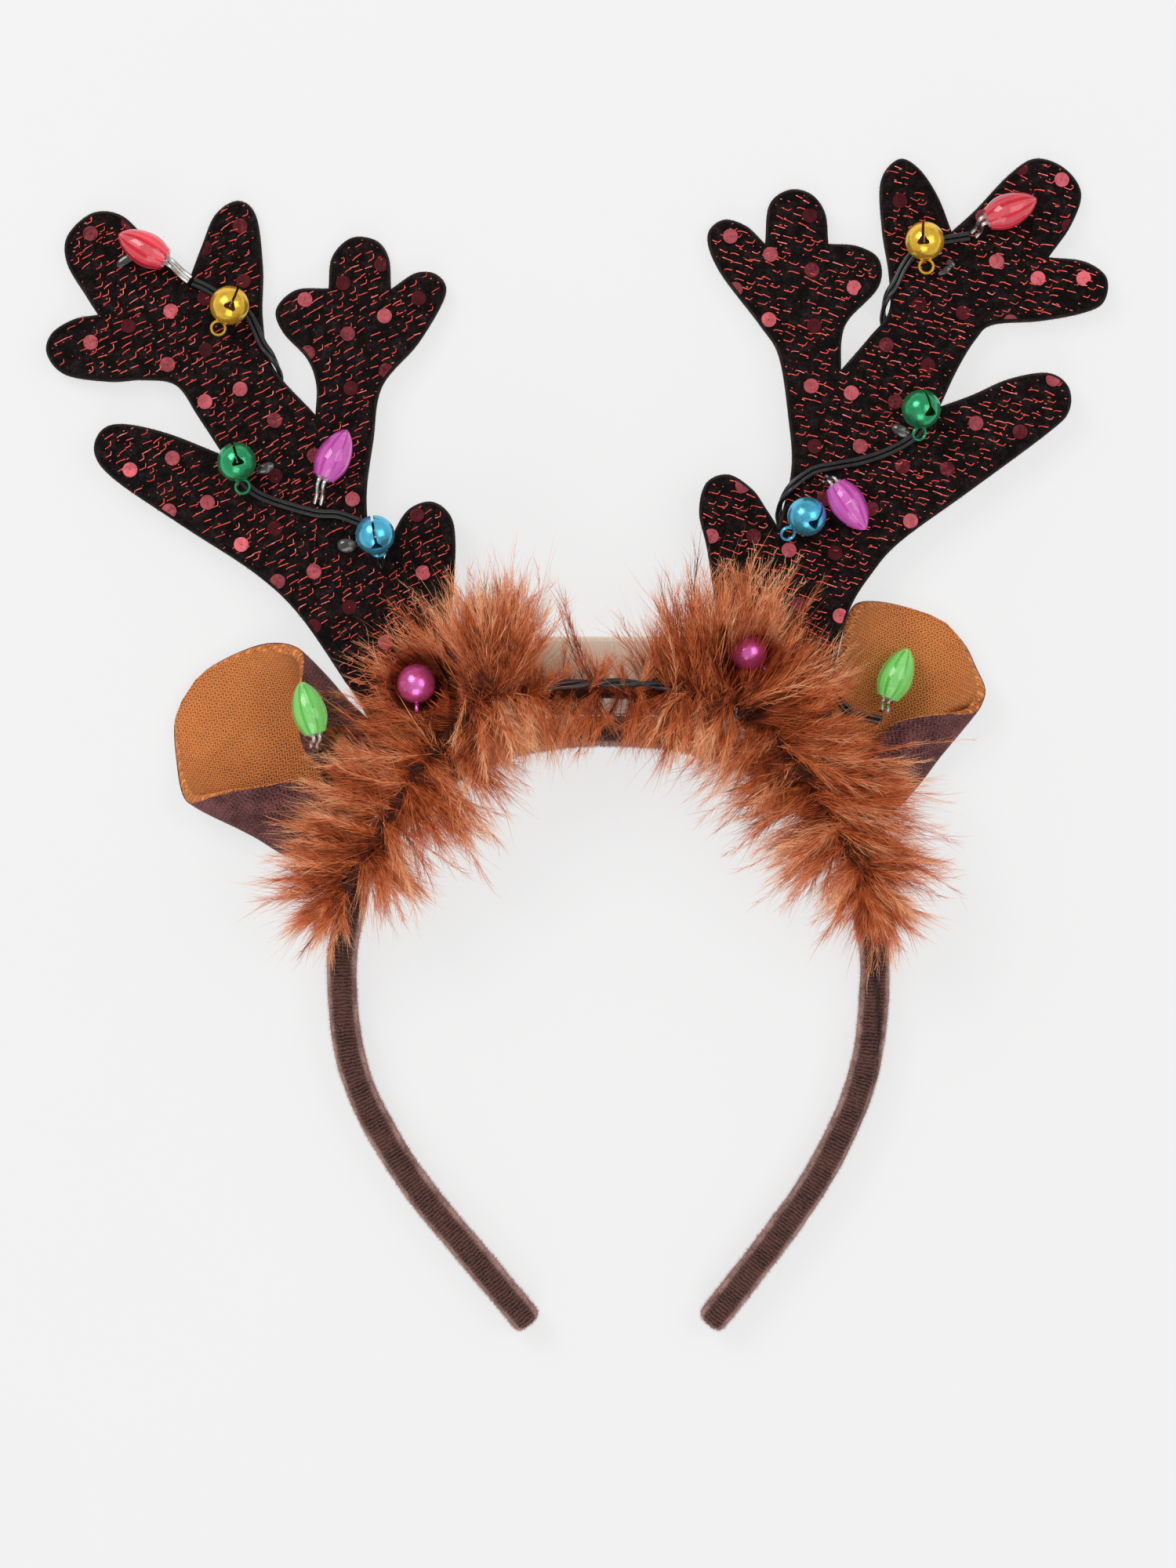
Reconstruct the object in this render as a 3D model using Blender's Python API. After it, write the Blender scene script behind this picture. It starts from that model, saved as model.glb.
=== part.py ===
"""Reindeer antler headband, lying on its back as it does on a table.

+X is the right of its front view, +Y runs from the crown to the antler tips and +Z comes out of
its front. The origin is the middle of the battery case's back face, and Z = 0 is the table.
"""

import math

import bmesh
import bpy
import numpy as np
from mathutils import Matrix, Vector

# Clearances
GAP = 0.0003
EXACT_MERGE = 0.00001
OUTLINE_SLACK = 0.00007

# Hoop: a padded oval band, swept along an open loop
HOOP_WIDTH = 0.1224
HOOP_DEPTH = 0.1364
LEFT_LEG_SHIFT = 0.0032
RIGHT_LEG_SHIFT = 0.0018
BAND_THICK = 0.0068
BAND_DEPTH = 0.0095
TIP_ROUND = 0.0024

# Battery case behind the crown
CASE_WIDTH = 0.037
CASE_HEIGHT = 0.018
CASE_DEPTH = 0.008
CASE_EDGE = 0.0012

# Antlers: a felt plate with a thinner sequin cloth on its front
ANTLER_WIDTH = 0.0943
LEFT_ANTLER_HEIGHT = 0.1328
RIGHT_ANTLER_HEIGHT = 0.1422
FELT_THICK = 0.0020
CLOTH_THICK = 0.0010
FELT_RIM = 0.0013
ANTLER_SEAT = 0.2185
FOOT_FROM = 0.180
FOOT_TO = 0.272
FOOT_LAP = 0.0022

# Ears: velvet cups with a tan lining
LEFT_EAR_LENGTH = 0.0518
LEFT_EAR_HALF_WIDTH = 0.0220
RIGHT_EAR_LENGTH = 0.0476
RIGHT_EAR_HALF_WIDTH = 0.0198
EAR_DEPTH = 0.0180
VELVET_THICK = 0.0010
LINING_THICK = 0.0010
EAR_SEAT = 0.300
LEFT_EAR_TURN = 147.0
RIGHT_EAR_TURN = 62.5
EAR_REST = 0.0004

# Feather trim round the crown
TRIM_REACH = 0.0170
TRIM_CORE = 0.0080
TRIM_CORE_DEPTH = 0.0110
TRIM_END = 0.455
TRIM_STATIONS = 51
TRIM_CROWN_OFFSET = 0.0108
TRIM_SIDE_OFFSET = 0.0046
TRIM_CLEAR = 0.0008
TRIM_DRIFT = 0.0015
TRIM_SEED = 7

# Jingle bells and the loose ball in each
BELL_RADIUS = 0.0045
BELL_WALL = 0.0005
BELL_SLOT = 0.0006
BELL_HOLE = 0.0009
BELL_RING = 0.0016
BELL_RING_WIRE = 0.00035
BALL_RADIUS = 0.0015
HOLLOW_RINGS = 5
HOLLOW_SIDES = 8

# Bulb covers and the lights in them
BULB_LENGTH = 0.0124
BULB_RADIUS = 0.00395
BULB_WALL = 0.0006
LIGHT_RADIUS = 0.0015
LIGHT_LENGTH = 0.0055
LIGHT_FLANGE = 0.0004
LEAD_RADIUS = 0.00025
LEAD_SPREAD = 0.0007

# Two-core wire
WIRE_WIDTH = 0.0022
WIRE_THICK = 0.0011
WIRE_STEP = 0.0050
WIRE_BEND = 13.0

# Colours and finishes: red, green, blue, roughness, metallic
FINISHES = {
    "velvet": (0.115, 0.045, 0.035, 0.95, 0.0),
    "case": (0.75, 0.70, 0.62, 0.50, 0.0),
    "feather": (0.33, 0.08, 0.02, 0.85, 0.0),
    "felt": (0.030, 0.018, 0.016, 0.95, 0.0),
    "sequin_cloth": (0.050, 0.014, 0.014, 0.60, 0.1),
    "tan_twill": (0.50, 0.19, 0.05, 0.90, 0.0),
    "gold": (0.85, 0.48, 0.04, 0.20, 1.0),
    "green": (0.01, 0.33, 0.10, 0.20, 1.0),
    "blue": (0.02, 0.32, 0.62, 0.20, 1.0),
    "pink": (0.85, 0.04, 0.33, 0.20, 1.0),
    "steel": (0.55, 0.55, 0.55, 0.30, 1.0),
    "red_plastic": (0.80, 0.03, 0.08, 0.15, 0.0),
    "magenta_plastic": (0.75, 0.12, 0.60, 0.15, 0.0),
    "green_plastic": (0.15, 0.80, 0.22, 0.15, 0.0),
    "clear_plastic": (0.85, 0.85, 0.82, 0.10, 0.0),
    "black_plastic": (0.01, 0.01, 0.012, 0.30, 0.0),
}

# Half of the hoop from the crown to a tip: across in half widths, down in depths
HOOP_ROWS = [
    (0.000, 0.000),
    (0.341, 0.017),
    (0.635, 0.077),
    (0.900, 0.208),
    (0.990, 0.345),
    (1.000, 0.442),
    (0.974, 0.558),
    (0.925, 0.624),
    (0.771, 0.756),
    (0.547, 0.888),
    (0.347, 1.000),
]

# Antler outlines from crotch to crotch, a row for each tine: across in antler widths from the
# seat on the hoop, up in antler heights
LEFT_TINES = {
    "long": [(-0.176, 0.106), (-0.229, 0.165), (-0.340, 0.279), (-0.448, 0.351), (-0.620, 0.431),
             (-0.788, 0.512), (-0.840, 0.558), (-0.826, 0.598), (-0.773, 0.611), (-0.664, 0.595),
             (-0.527, 0.557)],
    "first hand": [(-0.527, 0.557), (-0.588, 0.623), (-0.643, 0.678), (-0.725, 0.687),
                   (-0.803, 0.684), (-0.912, 0.696), (-0.958, 0.732), (-0.947, 0.768),
                   (-0.893, 0.793), (-0.834, 0.801)],
    "second hand": [(-0.834, 0.801), (-0.863, 0.833), (-0.910, 0.890), (-0.910, 0.938),
                    (-0.851, 0.978), (-0.782, 0.976), (-0.721, 0.938), (-0.613, 0.859)],
    "third hand": [(-0.613, 0.859), (-0.582, 0.919), (-0.548, 0.976), (-0.492, 1.000),
                   (-0.448, 0.973), (-0.431, 0.881), (-0.431, 0.793), (-0.406, 0.711),
                   (-0.302, 0.627)],
    "first inner": [(-0.302, 0.627), (-0.300, 0.678), (-0.323, 0.724), (-0.382, 0.770),
                    (-0.399, 0.810), (-0.351, 0.844), (-0.271, 0.847)],
    "second inner": [(-0.271, 0.847), (-0.263, 0.901), (-0.216, 0.935), (-0.156, 0.931),
                     (-0.124, 0.901), (-0.118, 0.846)],
    "third inner": [(-0.118, 0.846), (-0.057, 0.874), (-0.004, 0.870), (0.015, 0.835),
                    (-0.050, 0.752), (-0.139, 0.676), (-0.160, 0.583), (-0.176, 0.495),
                    (-0.170, 0.427), (-0.141, 0.359)],
    "low": [(-0.141, 0.359), (-0.109, 0.424), (-0.073, 0.463), (-0.019, 0.476), (0.025, 0.455),
            (0.040, 0.413), (0.036, 0.324), (0.025, 0.237), (0.029, 0.136)],
}
RIGHT_TINES = {
    "low": [(-0.084, 0.139), (-0.141, 0.259), (-0.168, 0.366), (-0.187, 0.424), (-0.170, 0.472),
            (-0.115, 0.486), (-0.057, 0.462), (-0.023, 0.430), (0.006, 0.400)],
    "first inner": [(0.006, 0.400), (0.038, 0.494), (0.031, 0.578), (0.008, 0.677),
                    (-0.038, 0.728), (-0.137, 0.816), (-0.166, 0.873), (-0.128, 0.900),
                    (-0.071, 0.890), (-0.025, 0.861)],
    "second inner": [(-0.025, 0.861), (-0.015, 0.924), (0.034, 0.949), (0.088, 0.942),
                     (0.122, 0.911), (0.130, 0.861)],
    "third inner": [(0.130, 0.861), (0.202, 0.857), (0.254, 0.835), (0.252, 0.790),
                    (0.181, 0.739), (0.162, 0.706), (0.160, 0.656)],
    "first hand": [(0.160, 0.656), (0.229, 0.709), (0.277, 0.751), (0.277, 0.810), (0.260, 0.886),
                   (0.258, 0.963), (0.302, 0.999), (0.351, 0.984), (0.397, 0.939),
                   (0.431, 0.881)],
    "second hand": [(0.431, 0.881), (0.492, 0.918), (0.569, 0.972), (0.635, 1.000),
                    (0.706, 0.985), (0.748, 0.944), (0.723, 0.891), (0.668, 0.839)],
    "third hand": [(0.668, 0.839), (0.756, 0.832), (0.809, 0.806), (0.802, 0.766),
                   (0.750, 0.748), (0.645, 0.735), (0.531, 0.729), (0.489, 0.705),
                   (0.445, 0.658), (0.401, 0.596)],
    "long": [(0.401, 0.596), (0.479, 0.615), (0.569, 0.641), (0.664, 0.651), (0.714, 0.629),
             (0.716, 0.589), (0.664, 0.553), (0.473, 0.459), (0.305, 0.378), (0.233, 0.325),
             (0.177, 0.263), (0.141, 0.165), (0.122, 0.076)],
}

# Ear sections from the neck to the tip: along in ear lengths, upper and lower half width in
# half widths, depth in half depths, and how far each side rolls round, in degrees
EAR_COLUMNS = ("along", "upper", "lower", "depth", "upper_roll", "lower_roll")
LEFT_EAR_ROWS = [
    (0.00, 0.36, 0.48, 0.40, 170, 170),
    (0.10, 0.56, 0.76, 0.43, 170, 170),
    (0.22, 0.73, 0.91, 0.47, 170, 170),
    (0.38, 0.81, 0.93, 0.52, 170, 163),
    (0.48, 0.88, 0.95, 0.62, 160, 150),
    (0.58, 0.94, 0.98, 0.79, 133, 136),
    (0.67, 0.98, 1.00, 0.93, 92, 115),
    (0.75, 0.99, 1.00, 1.00, 72, 79),
    (0.85, 1.00, 1.00, 1.00, 50, 50),
    (0.97, 1.00, 1.00, 1.00, 20, 24),
    (1.00, 1.00, 1.00, 1.00, 7, 10),
]
RIGHT_EAR_ROWS = [
    (0.00, 0.40, 0.40, 0.40, 170, 170),
    (0.10, 0.55, 0.59, 0.42, 170, 170),
    (0.25, 0.64, 0.69, 0.45, 170, 170),
    (0.40, 0.70, 0.75, 0.48, 167, 173),
    (0.50, 0.74, 0.80, 0.55, 150, 161),
    (0.60, 0.79, 0.85, 0.66, 127, 134),
    (0.69, 0.86, 0.89, 0.80, 106, 94),
    (0.78, 0.95, 0.90, 0.90, 91, 75),
    (0.87, 1.00, 0.90, 0.92, 78, 47),
    (0.94, 1.00, 0.90, 0.92, 46, 30),
    (0.98, 1.00, 0.90, 0.92, 24, 16),
    (1.00, 1.00, 0.90, 0.92, 8, 7),
]
EAR_ACROSS = 10

# Feather trim section: angle from the outward side towards the front, in degrees, the way a
# column behaves, and its locks' reach in trim reaches
TRIM_COLUMNS = [
    (-35, "flat", 0.0),
    (0, "even", 1.00),
    (25, "odd", 0.90),
    (50, "even", 0.68),
    (74, "flat", 0.0),
    (106, "flat", 0.0),
    (130, "even", 0.68),
    (155, "odd", 0.88),
    (180, "even", 0.95),
    (215, "flat", 0.0),
    (250, "flat", 0.0),
    (290, "flat", 0.0),
]

# Bulb cover from the open base to the tip: radius in bulb radii, height in bulb lengths
BULB_ROWS = [(0.63, 0.00), (0.73, 0.065), (0.94, 0.225), (1.00, 0.40), (0.89, 0.61),
             (0.61, 0.82), (0.27, 0.95)]

# Bells on the antlers: across and up to the bell, the way its ring points in degrees, the roll
# of its slot in degrees from facing the front, and 1 where the wire runs under it
LEFT_BELLS = {
    "gold": (-0.508, 0.813, 243.0, 8.0, 1),
    "green": (-0.489, 0.542, 283.0, 40.0, 1),
    "blue": (-0.153, 0.416, 280.0, 0.0, 1),
    "pink": (-0.052, 0.159, 270.0, 95.0, 1),
}
RIGHT_BELLS = {
    "gold": (0.361, 0.861, 274.0, -8.0, 1),
    "green": (0.351, 0.589, 266.0, 60.0, 1),
    "blue": (0.073, 0.416, 222.0, 35.0, 0),
    "pink": (-0.070, 0.197, 315.0, 90.0, 1),
}
# Bulbs on the antlers: the base's place, then the tip's
LEFT_BULBS = {"red": (-0.666, 0.893, -0.779, 0.938), "magenta": (-0.279, 0.515, -0.219, 0.602)}
RIGHT_BULBS = {"red": (0.515, 0.897, 0.639, 0.932), "magenta": (0.143, 0.467, 0.219, 0.392)}
# Bulbs in the ears: base and tip, along in ear lengths and across in half widths
LEFT_EAR_BULB = (0.412, 0.335, 0.592, 0.705)
RIGHT_EAR_BULB = (0.545, 0.115, 0.785, 0.165)

# Wire routes on the antlers: across, up, the layer (1 on the front, -1 under the back) and the
# quarter turns by which the flat wire faces the front
LEFT_TOP_ROUTE = [(-0.600, 0.857, 1, 1), (-0.569, 0.847, 1, 1), (-0.508, 0.821, 1, 1),
                  (-0.462, 0.800, 1, 1), (-0.441, 0.778, 1, 1), (-0.431, 0.756, 1, 1),
                  (-0.406, 0.736, 0.92, 0.5), (-0.392, 0.711, 0, 0),
                  (-0.377, 0.691, -0.92, -0.5), (-0.382, 0.668, -1, -1),
                  (-0.420, 0.623, -1, -1), (-0.477, 0.556, -1, -1)]
LEFT_MIDDLE_ROUTE = [(-0.494, 0.535, 1, 1), (-0.473, 0.509, 1, 1), (-0.448, 0.491, 1, 1),
                     (-0.410, 0.478, 1, 1), (-0.353, 0.465, 1, 1), (-0.296, 0.455, 1, 1),
                     (-0.248, 0.453, 1, 1), (-0.206, 0.443, 1, 1), (-0.176, 0.434, 1, 1),
                     (-0.161, 0.419, 0.92, 0.5), (-0.152, 0.402, 0, 0),
                     (-0.145, 0.384, -0.92, -0.5), (-0.141, 0.360, -1, -1),
                     (-0.120, 0.310, -1, -1), (-0.067, 0.186, -1, -1)]
LEFT_LOW_ROUTE = [(-0.060, 0.159, 1, 1), (-0.030, 0.159, 1, 1), (-0.004, 0.160, 1, 1)]
RIGHT_TOP_ROUTE = [(0.473, 0.872, 1, 1), (0.435, 0.868, 1, 1), (0.378, 0.861, 1, 1),
                   (0.335, 0.845, 1, 1), (0.306, 0.821, 1, 1), (0.293, 0.797, 1, 1),
                   (0.271, 0.773, 0.92, 0.5), (0.264, 0.749, 0, 0),
                   (0.250, 0.733, -0.92, -0.5), (0.258, 0.709, -1, -1),
                   (0.290, 0.672, -1, -1), (0.345, 0.600, -1, -1)]
RIGHT_MIDDLE_ROUTE = [(0.351, 0.592, 1, 1), (0.353, 0.566, 1, 1), (0.336, 0.546, 1, 1),
                      (0.282, 0.525, 1, 1), (0.216, 0.509, 1, 1), (0.149, 0.500, 1, 1),
                      (0.097, 0.493, 1, 1), (0.058, 0.477, 1, 1), (0.029, 0.459, 0.92, 0.5),
                      (0.012, 0.441, 0, 0), (0.008, 0.422, -0.92, -0.5),
                      (0.013, 0.397, -1, -1), (-0.010, 0.342, -1, -1),
                      (-0.066, 0.200, -1, -1)]
RIGHT_LOW_ROUTE = [(-0.076, 0.200, 1, 1), (-0.052, 0.186, 1, 1), (-0.032, 0.174, 1, 1)]


def smooth_path(points, steps):
    """Points along a smooth curve through the given ones."""
    p = [np.array(q, float) for q in points]
    p = [2 * p[0] - p[1]] + p + [2 * p[-1] - p[-2]]
    out = []
    for a, b, c, d in zip(p, p[1:], p[2:], p[3:]):
        for k in range(steps):
            t = k / steps
            out.append(0.5 * (2 * b + (c - a) * t + (2 * a - 5 * b + 4 * c - d) * t * t
                              + (3 * b - a - 3 * c + d) * t ** 3))
    out.append(p[-2])
    return out


def thin_out(points):
    """The path without the points that lie on the line between their neighbours."""
    kept = [points[0]]
    for p, after in zip(points[1:], points[2:]):
        line = after - kept[-1]
        gone = p - kept[-1]
        off = abs(line[0] * gone[1] - line[1] * gone[0]) / np.linalg.norm(line)
        if off > OUTLINE_SLACK:
            kept.append(p)
    kept.append(points[-1])
    return kept


def ease(value, start, end):
    """0 before start, 1 after end and a smooth step between."""
    t = min(max((value - start) / (end - start), 0.0), 1.0)
    return t * t * (3 - 2 * t)


class Hoop:
    """The band's centreline, asked by a share of the half length: -1 left tip, 1 right tip."""

    def __init__(self):
        crown_y = -(CASE_HEIGHT / 2 + GAP + BAND_THICK / 2)
        half = [(x * HOOP_WIDTH / 2, crown_y - y * HOOP_DEPTH) for x, y in HOOP_ROWS]
        full = [(-x, y) for x, y in reversed(half[1:])] + half
        points = np.array(smooth_path(full, 16))
        down = (crown_y - points[:, 1]) / HOOP_DEPTH
        for i, d in enumerate(down):
            shift = LEFT_LEG_SHIFT if points[i, 0] < 0 else RIGHT_LEG_SHIFT
            points[i, 0] += shift * ease(d, 0.5, 1.0)
        steps = np.hypot(*np.diff(points, axis=0).T)
        arc = np.concatenate([[0.0], np.cumsum(steps)])
        crown = len(points) // 2
        left, right = arc[crown], arc[-1] - arc[crown]
        self.points = points
        self.half_length = right
        self.share = np.where(arc < left, (arc - left) / left, (arc - left) / right)

    def at(self, share):
        """Centre, direction towards the right tip and outward direction there."""
        def place(s):
            s = min(max(s, -1.0), 1.0)
            return Vector((np.interp(s, self.share, self.points[:, 0]),
                           np.interp(s, self.share, self.points[:, 1]), 0.0))
        ahead = (place(share + 0.006) - place(share - 0.006)).normalized()
        return place(share), ahead, Vector((-ahead.y, ahead.x, 0.0))

    def distance(self, point):
        """From the centreline to a point outside the hoop, or less than 0 inside it."""
        gone = np.array((point.x, point.y)) - self.points
        nearest = int(np.argmin(np.hypot(*gone.T)))
        _, _, out = self.at(self.share[nearest])
        return out.x * gone[nearest, 0] + out.y * gone[nearest, 1]


HOOP = Hoop()


class Antler:
    """One antler's outline and the heights of its layers. It leans back from the band's front
    until its highest tine touches the table."""

    def __init__(self, side, height, tines):
        self.side = side
        self.height = height
        self.tines = list(tines.values())
        self.seat = HOOP.at(side * ANTLER_SEAT)[0]
        crown_foot, _, crown_out = HOOP.at(side * FOOT_FROM)
        outer_foot, _, outer_out = HOOP.at(side * FOOT_TO)
        self.hinge = crown_foot.y
        crown_foot = crown_foot - crown_out * FOOT_LAP
        outer_foot = outer_foot - outer_out * FOOT_LAP
        self.feet = (outer_foot, crown_foot) if side < 0 else (crown_foot, outer_foot)
        self.lean = (BAND_DEPTH + GAP) / (self.seat.y + height - self.hinge)

    def flat(self, across, up):
        return Vector((self.seat.x + across * ANTLER_WIDTH, self.seat.y + up * self.height, 0.0))

    def back(self, y):
        return BAND_DEPTH + GAP - self.lean * (y - self.hinge)

    def front(self, y):
        return self.back(y) + FELT_THICK + GAP + CLOTH_THICK

    def on(self, across, up, lift):
        """A place over the cloth, lift above its face."""
        p = self.flat(across, up)
        return Vector((p.x, p.y, self.front(p.y) + lift))

    def layer(self, across, up, level=1.0, facing=1.0):
        """A wire's centre and its facing: level 1 lies on the front, -1 under the back."""
        p = self.flat(across, up)
        clear = GAP + WIRE_THICK / 2
        low, high = self.back(p.y) - clear, self.front(p.y) + clear
        return (p.x, p.y, (low + high) / 2 + level * (high - low) / 2, facing)

    def outline(self, steps):
        rows = [[tuple(self.flat(*row).xy) for row in tine] for tine in self.tines]
        rows[0].insert(0, tuple(self.feet[0].xy))
        rows[-1].append(tuple(self.feet[1].xy))
        points = []
        for row in rows:
            points += smooth_path(row, steps)[:-1]
        points.append(np.array(rows[-1][-1]))
        return thin_out(points)


def inset(points, distance):
    """The closed outline moved inwards; it runs clockwise."""
    out = []
    count = len(points)
    for i in range(count):
        a, b, c = points[i - 1], points[i], points[(i + 1) % count]
        before = (b - a) / np.linalg.norm(b - a)
        after = (c - b) / np.linalg.norm(c - b)
        normal = np.array([before[1] + after[1], -before[0] - after[0]])
        length = np.linalg.norm(normal)
        normal = normal / length if length > 0.2 else np.array([before[1], -before[0]])
        miter = min(1.0 / max(length / 2, 0.2), 1.35)
        out.append(b + normal * distance * miter)
    return out


def material(kind):
    found = bpy.data.materials.get(kind)
    if found:
        return found
    red, green, blue, roughness, metallic = FINISHES[kind]
    made = bpy.data.materials.new(kind)
    made.use_nodes = True
    shader = made.node_tree.nodes["Principled BSDF"]
    shader.inputs["Base Color"].default_value = (red, green, blue, 1.0)
    shader.inputs["Roughness"].default_value = roughness
    shader.inputs["Metallic"].default_value = metallic
    made.diffuse_color = (red, green, blue, 1.0)
    return made


def finish(name, mesh, kind, smooth=40.0):
    """One object of the model from its mesh."""
    obj = bpy.data.objects.new(name, mesh)
    bpy.context.collection.objects.link(obj)
    if not mesh.materials:
        mesh.materials.append(material(kind))
    mesh.shade_smooth()
    mesh.set_sharp_from_angle(angle=math.radians(smooth))
    return obj


def mesh_from(bm, name):
    bmesh.ops.recalc_face_normals(bm, faces=bm.faces)
    mesh = bpy.data.meshes.new(name)
    bm.to_mesh(mesh)
    bm.free()
    return mesh


def loft(name, rings, sheet=False):
    """A closed mesh through rings of points. A sheet's ring goes out on one face and back on
    the other. Its faces are split the same way, so that nested sheets keep their gap, and its
    ends are closed by strips."""
    bm = bmesh.new()
    loops = [[bm.verts.new(p) for p in ring] for ring in rings]
    count = len(loops[0])
    for a, b in zip(loops, loops[1:]):
        for i in range(count):
            j = (i + 1) % count
            if not sheet:
                bm.faces.new((a[i], a[j], b[j], b[i]))
            elif i < count // 2:
                bm.faces.new((a[i], a[j], b[j]))
                bm.faces.new((a[i], b[j], b[i]))
            else:
                bm.faces.new((a[i], a[j], b[i]))
                bm.faces.new((a[j], b[j], b[i]))
    for loop in (loops[0], loops[-1]):
        if sheet:
            for i in range(count // 2 - 1):
                bm.faces.new((loop[i], loop[i + 1], loop[count - 2 - i], loop[count - 1 - i]))
        else:
            bm.faces.new(loop)
    return mesh_from(bm, name)


def lathe(name, rows, sides):
    """A closed turned mesh from (radius, height) rows, whose first and last radius is 0."""
    bm = bmesh.new()
    loops = []
    for radius, height in rows:
        if radius == 0:
            loops.append([bm.verts.new((0, 0, height))])
            continue
        turn = [2 * math.pi * k / sides for k in range(sides)]
        loops.append([bm.verts.new((radius * math.cos(a), radius * math.sin(a), height))
                      for a in turn])
    for a, b in zip(loops, loops[1:]):
        for i in range(sides):
            j = (i + 1) % sides
            corners = [a[i % len(a)], a[j % len(a)], b[j % len(b)], b[i % len(b)]]
            bm.faces.new(list(dict.fromkeys(corners)))
    return mesh_from(bm, name)


def cut_mesh(name, base, joined=(), cut=()):
    """The base mesh with others joined to it, then others cut from it."""
    made = []
    def helper(mesh):
        obj = bpy.data.objects.new(mesh.name, mesh)
        bpy.context.collection.objects.link(obj)
        made.append(obj)
        return obj
    body = helper(base)
    for operation, tools in (("UNION", joined), ("DIFFERENCE", cut)):
        for mesh in tools:
            step = body.modifiers.new(operation.lower(), "BOOLEAN")
            step.operation = operation
            step.object = helper(mesh)
    graph = bpy.context.evaluated_depsgraph_get()
    result = bpy.data.meshes.new_from_object(body.evaluated_get(graph))
    result.name = name
    result.materials.clear()
    for obj in made:
        bpy.data.objects.remove(obj)
    bm = bmesh.new()
    bm.from_mesh(result)
    bmesh.ops.remove_doubles(bm, verts=bm.verts, dist=EXACT_MERGE)
    bmesh.ops.dissolve_degenerate(bm, edges=bm.edges, dist=EXACT_MERGE)
    bm.to_mesh(result)
    bm.free()
    return result


def pose(position, axis, roll=0.0):
    """A matrix that puts a mesh's +Z along axis, with its +X towards the front, then rolled."""
    up = axis.normalized()
    front = Vector((0, 0, 1))
    across = (front - up * front.dot(up)).normalized()
    side = up.cross(across)
    turned = across * math.cos(roll) + side * math.sin(roll)
    frame = Matrix((turned, up.cross(turned), up)).transposed().to_4x4()
    return Matrix.Translation(position) @ frame


def ball_rows(radius, rings):
    return [(0, radius)] + [
        (radius * math.sin(math.pi * k / rings), radius * math.cos(math.pi * k / rings))
        for k in range(1, rings)] + [(0, -radius)]


# Band and battery case

def build_band():
    sides = 10
    sweep = [math.radians(18 + 360 * k / sides) for k in range(sides)]
    bulge = 0.8
    section = [(math.copysign(abs(math.cos(a)) ** bulge, math.cos(a)) * BAND_THICK / 2,
                math.copysign(abs(math.sin(a)) ** bulge, math.sin(a)) * BAND_DEPTH / 2)
               for a in sweep]
    round_share = TIP_ROUND / HOOP.half_length
    shares = list(np.linspace(-1 + round_share, 1 - round_share, 33))
    stations = [(-1.0, 0.62), (-1 + round_share / 3, 0.88)]
    stations += [(s, 1.0) for s in shares]
    stations += [(1 - round_share / 3, 0.88), (1.0, 0.62)]
    rings = []
    for share, size in stations:
        centre, _, out = HOOP.at(share)
        rings.append([centre + out * r * size + Vector((0, 0, BAND_DEPTH / 2 + z * size))
                      for r, z in section])
    finish("headband", loft("headband", rings), "velvet")


def build_case():
    bm = bmesh.new()
    bmesh.ops.create_cube(bm, size=1.0)
    bmesh.ops.scale(bm, vec=(CASE_WIDTH, CASE_HEIGHT, CASE_DEPTH), verts=bm.verts)
    bmesh.ops.translate(bm, vec=(0, 0, CASE_DEPTH / 2), verts=bm.verts)
    bmesh.ops.bevel(bm, geom=bm.edges[:], offset=CASE_EDGE, segments=2, affect="EDGES",
                    profile=0.5)
    finish("battery_case", mesh_from(bm, "battery_case"), "case")


# Antlers

def plate(name, points, low, thickness, kind):
    rings = [[Vector((x, y, low(y) + lift)) for x, y in points] for lift in (0.0, thickness)]
    finish(name, loft(name, rings), kind)


def build_antler(antler, word):
    plate(f"antler_{word}_felt", antler.outline(2), antler.back, FELT_THICK, "felt")
    cloth = inset(antler.outline(1), FELT_RIM)
    plate(f"antler_{word}_cloth", cloth, lambda y: antler.back(y) + FELT_THICK + GAP,
          CLOTH_THICK, "sequin_cloth")


# Ears

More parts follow.
